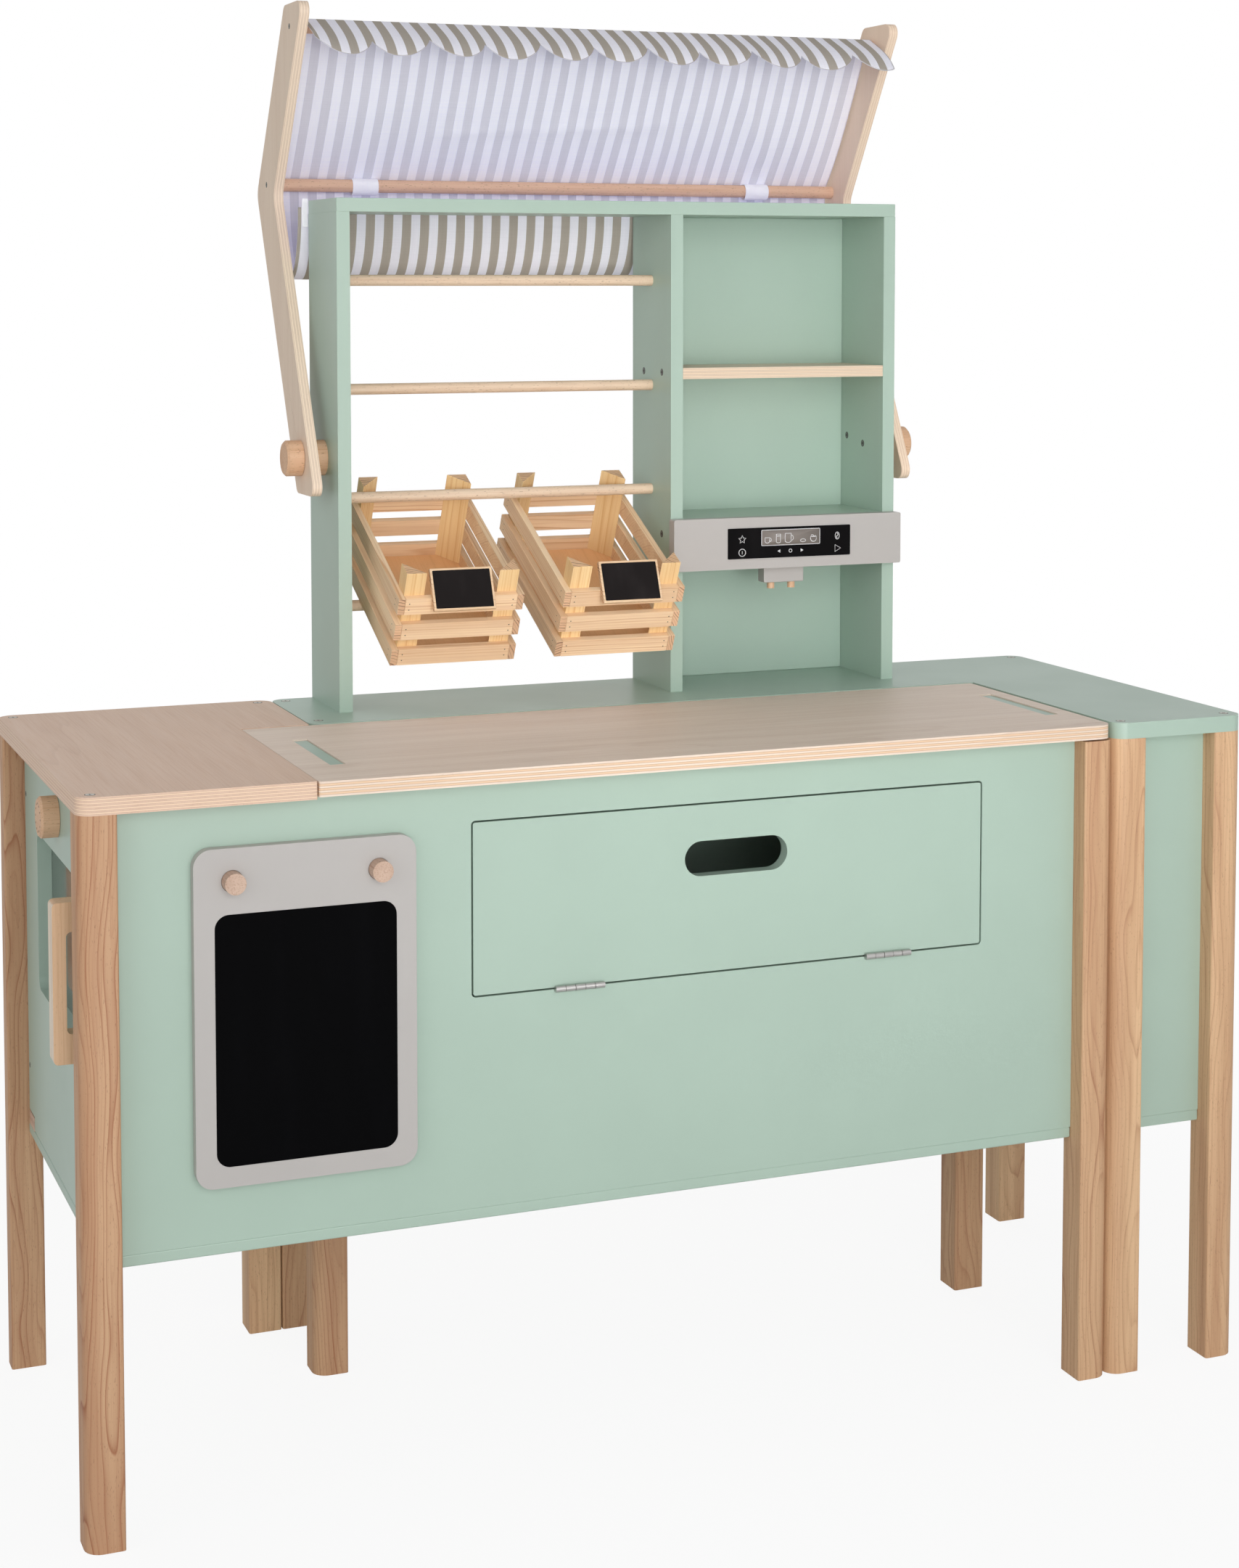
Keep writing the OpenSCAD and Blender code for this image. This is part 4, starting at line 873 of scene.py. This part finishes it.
def band(path, x0, width, thickness, count=14):
    """Webbing carried along a closed or open side-view path: a flat section with rounded edges, one row to a point."""
    angle = np.linspace(0, 2 * pi, 2 * count, endpoint=False)
    flat_x = np.sign(np.cos(angle)) * np.abs(np.cos(angle)) ** 0.25 * width / 2
    flat_t = np.sign(np.sin(angle)) * np.abs(np.sin(angle)) ** 0.5 * thickness / 2
    out = normals(path)
    rows = path[:, None, :] + flat_t[None, :, None] * out[:, None, :]
    x = np.broadcast_to(x0 + width / 2 + flat_x, rows.shape[:2])
    return capped(np.concatenate([x[..., None], rows], -1))


STRAP_X, STRAP_W, STRAP_R, STRAP_SAG = (343.7, 746.3), 25.0, 6.75, 1.6
STRIP_X, STRIP_W, STRIP_Y, STRIP_Z = 284.0, 547.0, 396.5, (1017.2, 1028.8)
angle = np.linspace(0.2, 0.2 + 2 * pi + 0.9, 72)
radius = np.interp(angle, [0.2, 2 * pi, 0.2 + 2 * pi + 0.9], [STRAP_R, STRAP_R, STRAP_R + 0.35])
radius = radius + STRAP_SAG * np.clip(-np.sin(angle), 0, 1) ** 2
strap_path = MID_ROD + radius[:, None] * circle(angle)
loops = np.stack([band(strap_path, x, STRAP_W, 0.6) for x in STRAP_X])
straps = solid("rod_straps", loops, "awning", webbing)
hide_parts("awning_straps")

strip_path = np.stack([np.full(20, STRIP_Y), np.linspace(*STRIP_Z, 20)], -1)
strip = solid("fastening_strip", band(strip_path, STRIP_X, STRIP_W, 0.9), "rear_counter", webbing)
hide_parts("cloth_strip")
down = np.linspace(0, 1, 24)
end_path = np.stack([STRIP_Y + 0.1 + 1.2 * np.sin(pi * down), 1031.0 - 26.0 * down], -1)
solid("strip_end", band(end_path, STRIP_X - 5.6, 5.4, 0.8), "rear_counter", webbing)

# %% [markdown]
# ## Small pieces
# The rest is small: black faces on the price boards, white line symbols on the display, dots on the oven's dial, and
# the screws. Each is a low pad over an outline or a stroke along a path, drawn flat and then set on the face that
# carries it. They could be painted by a material, but as pieces they keep crisp edges and catch the light.

# %% Pads and strokes
def oval(radius_x, radius_y, count=24, power=1.0):
    """Points round an oval; a power below 1 squares it towards a box with round corners."""
    a = np.linspace(0, 2 * pi, count, endpoint=False)
    c, s = np.cos(a), np.sin(a)
    return np.stack([radius_x * np.sign(c) * np.abs(c) ** power, radius_y * np.sign(s) * np.abs(s) ** power], -1)


def pad(outline, rise):
    """A low form over an outline about its middle: for each (share, height) of rise, a ring at that share of the
    outline and that height."""
    share, height = np.array(rise, float).T
    rings = share[:, None, None] * outline
    return np.concatenate([rings, np.broadcast_to(height[:, None, None], (*rings.shape[:2], 1))], -1)


def stroke(path, width, height=0.12, closed=False):
    """A raised line: at each point of a path a low box section, width across it."""
    path = np.asarray(path, float)
    side = normals(np.concatenate([path[-1:], path, path[:1]]))[1:-1] if closed else normals(path)
    side = side * width / 2
    x = np.stack([path + side, path + side, path - side, path - side], 1)
    z = np.broadcast_to(np.array([-0.05, height, height, -0.05])[None, :, None], (*x.shape[:2], 1))
    rows = np.concatenate([x, z], -1)
    return np.concatenate([rows, rows[:1]]) if closed else capped(rows)


def seat(flat, at, right, up, out):
    """Sets a flat drawing on a face: its x, y and z are taken along the face's right, up and out directions."""
    return np.asarray(at, float) + flat @ np.array([right, up, out], float)


def gather(name, parts):
    """One object from grids of different sizes: each becomes a mesh, and the meshes are joined."""
    work = bmesh.new()
    for points in parts:
        bit = surface(name + "_bit", points, wrap=True)
        mesh = bit.data
        work.from_mesh(mesh)
        bpy.data.objects.remove(bit)
        bpy.data.meshes.remove(mesh)
    whole = bpy.data.meshes.new(name)
    work.to_mesh(whole)
    work.free()
    made = bpy.data.objects.new(name, whole)
    bpy.context.collection.objects.link(made)
    return close(made)


# %% Price board faces
LEAN, PRICE_W, PRICE_H, PRICE_T, BORDER = radians(48), 56.0, 38.0, 4.0, 2.0
up_board = np.array([sin(LEAN), cos(LEAN)])
out_board = -np.array([cos(LEAN), -sin(LEAN)])
board_foot = np.array([-0.3, 68.3]) - PRICE_H / 3 * up_board
turn = np.array([[cos(CRATE_TILT), -sin(CRATE_TILT)], [sin(CRATE_TILT), cos(CRATE_TILT)]])
PLATE = (0, 0.28), (0.97, 0.28), (1, 0.2), (1, -0.1), (0, -0.1)
face = pad(oval(PRICE_W / 2 - BORDER, PRICE_H / 2 - BORDER, 64, 0.03), PLATE)
board_way = dict(right=(1, 0, 0), up=(0, *(turn @ up_board)), out=(0, *(turn @ out_board)))
for side, move in (("left", 0.0), ("right", 4.0)):
    middle = turn @ (board_foot + PRICE_H / 2 * up_board + PRICE_T * out_board)
    at = np.array(CRATE_AT[side]) + [CRATE_W / 2 + move, *middle]
    solid(f"{side}_price_face", seat(face, at, **board_way), f"crate_{side}", price_black)

# %% Display symbols
white_ink, tree, bsdf = shader("white_ink")
skin = use(tree, lacquer_skin, Place=drawing(tree))
coat(tree, bsdf, tint(tree, skin["Peel"], srgb(196, 196, 198), srgb(226, 226, 228)), skin["Peel"], 0.45, 0.6)
screen_grey = lacquer("screen_grey", srgb(128, 120, 114), 0.5)

DISPLAY_AT, LINE = (715.75, 289.2, 713.0), 0.66
on_display = dict(at=DISPLAY_AT, right=(1, 0, 0), up=(0, 0, 1), out=(0, -1, 0))
a = np.linspace(0, 2 * pi, 10, endpoint=False) + pi / 2
star = circle(a) * np.where(np.arange(10) % 2, 1.8, 3.9)[:, None]
bend_line = np.stack([0.8 * np.sin(np.linspace(-pi, pi, 12)), np.linspace(-2.3, 2.3, 12)], -1)
wave = np.stack([np.linspace(-2.6, 2.6, 12), 0.7 * np.sin(np.linspace(0, 2 * pi, 12))], -1)
half = oval(1.0, 1.0, 24)[6:19] * [-1, 1]
SCREEN, SCREEN_AT = oval(30.0, 7.2, 64, 0.05), np.array([1.2, 4.6])


def cup(width, height, round_by=0.35):
    """A cup in outline: down one side, round the bottom, up the other and back along the rim."""
    low = oval(width / 2, height * round_by, 24)[12:] + [0, -height / 2 + height * round_by]
    return np.concatenate([[[-width / 2, height / 2]], low, [[width / 2, height / 2]]])


lines = [
    (SCREEN + SCREEN_AT, True),
    (star + [-48.6, 3.8], True),
    (oval(3.4, 3.4) + [-48.6, -8.4], True),
    ([[-48.6, -9.9], [-48.6, -6.9]], False),
    (oval(2.1, 3.3) + [49.4, 4.2], True),
    (bend_line + [49.4, 4.2], False),
    (np.array([[-2.7, -3.3], [-2.7, 3.3], [3.2, 0.0]]) + [49.8, -7.6], True),
    (oval(1.5, 1.5) + [0.8, -8.2], True),
    (cup(4.8, 5.0) + [-23.0, 2.2], True),
    (half * [1.4, 1.5] + [-20.2, 2.6], False),
    (cup(4.2, 8.2, 0.12) + [-11.6, 3.6], True),
    ([[-13.2, 5.9], [-10.0, 5.9]], False),
    (cup(6.2, 8.6, 0.2) + [-1.6, 3.8], True),
    (half * [1.9, 2.3] + [1.9, 3.8], False),
    (oval(2.7, 1.3) + [13.8, 1.0], True),
    (cup(6.0, 4.6, 0.6) + [24.6, 1.9], True),
    (wave + [24.6, 5.2], False),
]
arrows = [np.array([[1.5, -1.6], [1.5, 1.6], [-1.3, 0.0]]), np.array([[-1.5, -1.6], [1.3, 0.0], [-1.5, 1.6]])]
parts = [seat(stroke(path, LINE, closed=shut), **on_display) for path, shut in lines]
for outline, x in zip(arrows, (-11.2, 12.8)):
    parts.append(seat(pad(outline, [(0, 0.12), (1, 0.12), (1, -0.05), (0, -0.05)]) + [x, -8.2, 0], **on_display))
symbols = gather("display_symbols", parts)
finish_piece(symbols, "rear_counter", white_ink)
glass = pad(SCREEN, [(0, 0.06), (1, 0.06), (1, -0.05), (0, -0.05)]) + [*SCREEN_AT, 0]
solid("display_screen", seat(glass, **on_display), "rear_counter", screen_grey)

# %% Dial dots and screws
up_face = dict(right=(1, 0, 0), up=(0, 1, 0), out=(0, 0, 1))
left_face = dict(right=(0, -1, 0), up=(0, 0, 1), out=(-1, 0, 0))
right_face = dict(right=(0, 1, 0), up=(0, 0, 1), out=(1, 0, 0))
dot = pad(oval(0.95, 0.95, 16), [(0, 0.05), (0.8, 0.08), (1, 0.0), (1, -0.2), (0, -0.2)])
DIAL_AT, DOT_RING = np.array([197.0, 524.0]), 11.5
face_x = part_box("oven_knob")[0][0] * 1000 + CENTRE[0]
places = [(face_x, *spot) for spot in DIAL_AT + DOT_RING * circle(np.radians(np.arange(12) * 30.0))]
dots = np.stack([seat(dot, at, **left_face) for at in places])
solid("dial_dots", dots, "oven_knob", burnt)


def screw(radius):
    """A countersunk screw head with a cross recess: height over radius r and angle a is a flat crown, lowered where
    the point lies within the two crossing bars."""
    r = radius * np.array([0, 0.12, 0.24, 0.36, 0.48, 0.58, 0.64, 0.8, 0.93, 1.0, 1.0, 0.0])
    a = np.linspace(0, 2 * pi, 48, endpoint=False)
    x, y = r[:, None] * np.cos(a), r[:, None] * np.sin(a)
    bar = np.minimum(np.abs(x), np.abs(y)) / (0.16 * radius)
    inside = np.clip(1.6 - bar, 0, 1) * np.clip((0.62 * radius - r[:, None]) / (0.1 * radius), 0, 1)
    z = 0.25 - 0.12 * (r[:, None] / radius) ** 2 - 0.315 * inside
    z[-2:] = -0.4
    return np.stack([x, y, z], -1)


def hole_shadow_ring(radius):
    """A thin dark disc a little wider than the head in it: painted shade for the shadow in the gap round a screw head.
    """
    return pad(oval(radius, radius, 48), [(0, 0.05), (0.9, 0.05), (1, 0.02), (1, -0.4), (0, -0.4)])


SHELF_SCREWS = [(368, 872), (324, 872), (367, 721.5), (324, 721.5)]
WALL_SCREWS = [(378, 806), (344, 800)]
FRONT_SCREWS = [(12, 12), (12, 384), (230, 384)]
REAR_SCREWS = [(902, 12), (1009, 14), (1009, 384), (256, 270), (256, 384)]
RODS = MID_ROD, TOP_ROD
TOP_Z, DIVIDER, SHELF_OUTER, SHELF_INNER = 576, 600.5, 831, (296, 819)
SCREWS = {
    "counter_screws": ("front_counter", zinc, 4.2, [((*p, TOP_Z), up_face) for p in FRONT_SCREWS]),
    "rear_top_screws": ("rear_counter", zinc, 4.2, [((*p, TOP_Z), up_face) for p in REAR_SCREWS]),
    "shelf_screws": (
        "rear_counter", dark_steel, 3.3,
        [((DIVIDER, *p), left_face) for p in SHELF_SCREWS] + [((SHELF_OUTER, *p), right_face) for p in SHELF_SCREWS]
        + [((SHELF_INNER[1], *p), left_face) for p in WALL_SCREWS]
        + [((SHELF_INNER[0], *p), right_face) for p in WALL_SCREWS],
    ),
    "arm_screws": (
        "awning", dark_steel, 2.6,
        [((ARM_LEFT, *rod), left_face) for rod in RODS] + [((ARM_RIGHT + ARM_T, *rod), right_face) for rod in RODS],
    ),
    "door_screws": ("oven_door", dark_steel, 2.4, [((18, 357, z), left_face) for z in (513, 274)]),
}
for name, (body, metal, radius, seats) in SCREWS.items():
    heads = np.stack([seat(screw(radius * 0.84), at, **way) for at, way in seats])
    shadow_rings = np.stack([seat(hole_shadow_ring(radius), at, **way) for at, way in seats])
    solid(name, heads, body, metal)
    # The dark disc under each head is painted shade round the screw.
    solid(name + "_rims", shadow_rings, body, nail_heads_and_painted_shade)

# %% Crate nails
nail = pad(oval(0.55, 0.55, 12), [(0, 0.1), (0.7, 0.08), (1, 0.0), (1, -0.3), (0, -0.3)])
rows = np.add.outer(SLAT_PITCH * np.arange(3), (5.0, 11.0)).ravel()
NAIL_X, NAIL_Y = (10.0, CRATE_W - 10.0), (10.0, CRATE_L - 10.0)
ends = [((x, y, z), (0, out, 0)) for x in NAIL_X for y, out in ((0.0, -1), (CRATE_L, 1)) for z in rows]
flanks = [((x, y, z), (out, 0, 0)) for y in NAIL_Y for x, out in ((0.0, -1), (CRATE_W, 1)) for z in rows]
tip = np.array([[1, 0, 0], [0, cos(CRATE_TILT), sin(CRATE_TILT)], [0, -sin(CRATE_TILT), cos(CRATE_TILT)]])
for side, corner in CRATE_AT.items():
    nails = [seat(nail, at, np.cross((0, 0, 1), out), (0, 0, 1), out) @ tip for at, out in ends + flanks]
    solid(f"{side}_crate_nails", np.array(corner) + np.stack(nails), f"crate_{side}", nail_heads_and_painted_shade)
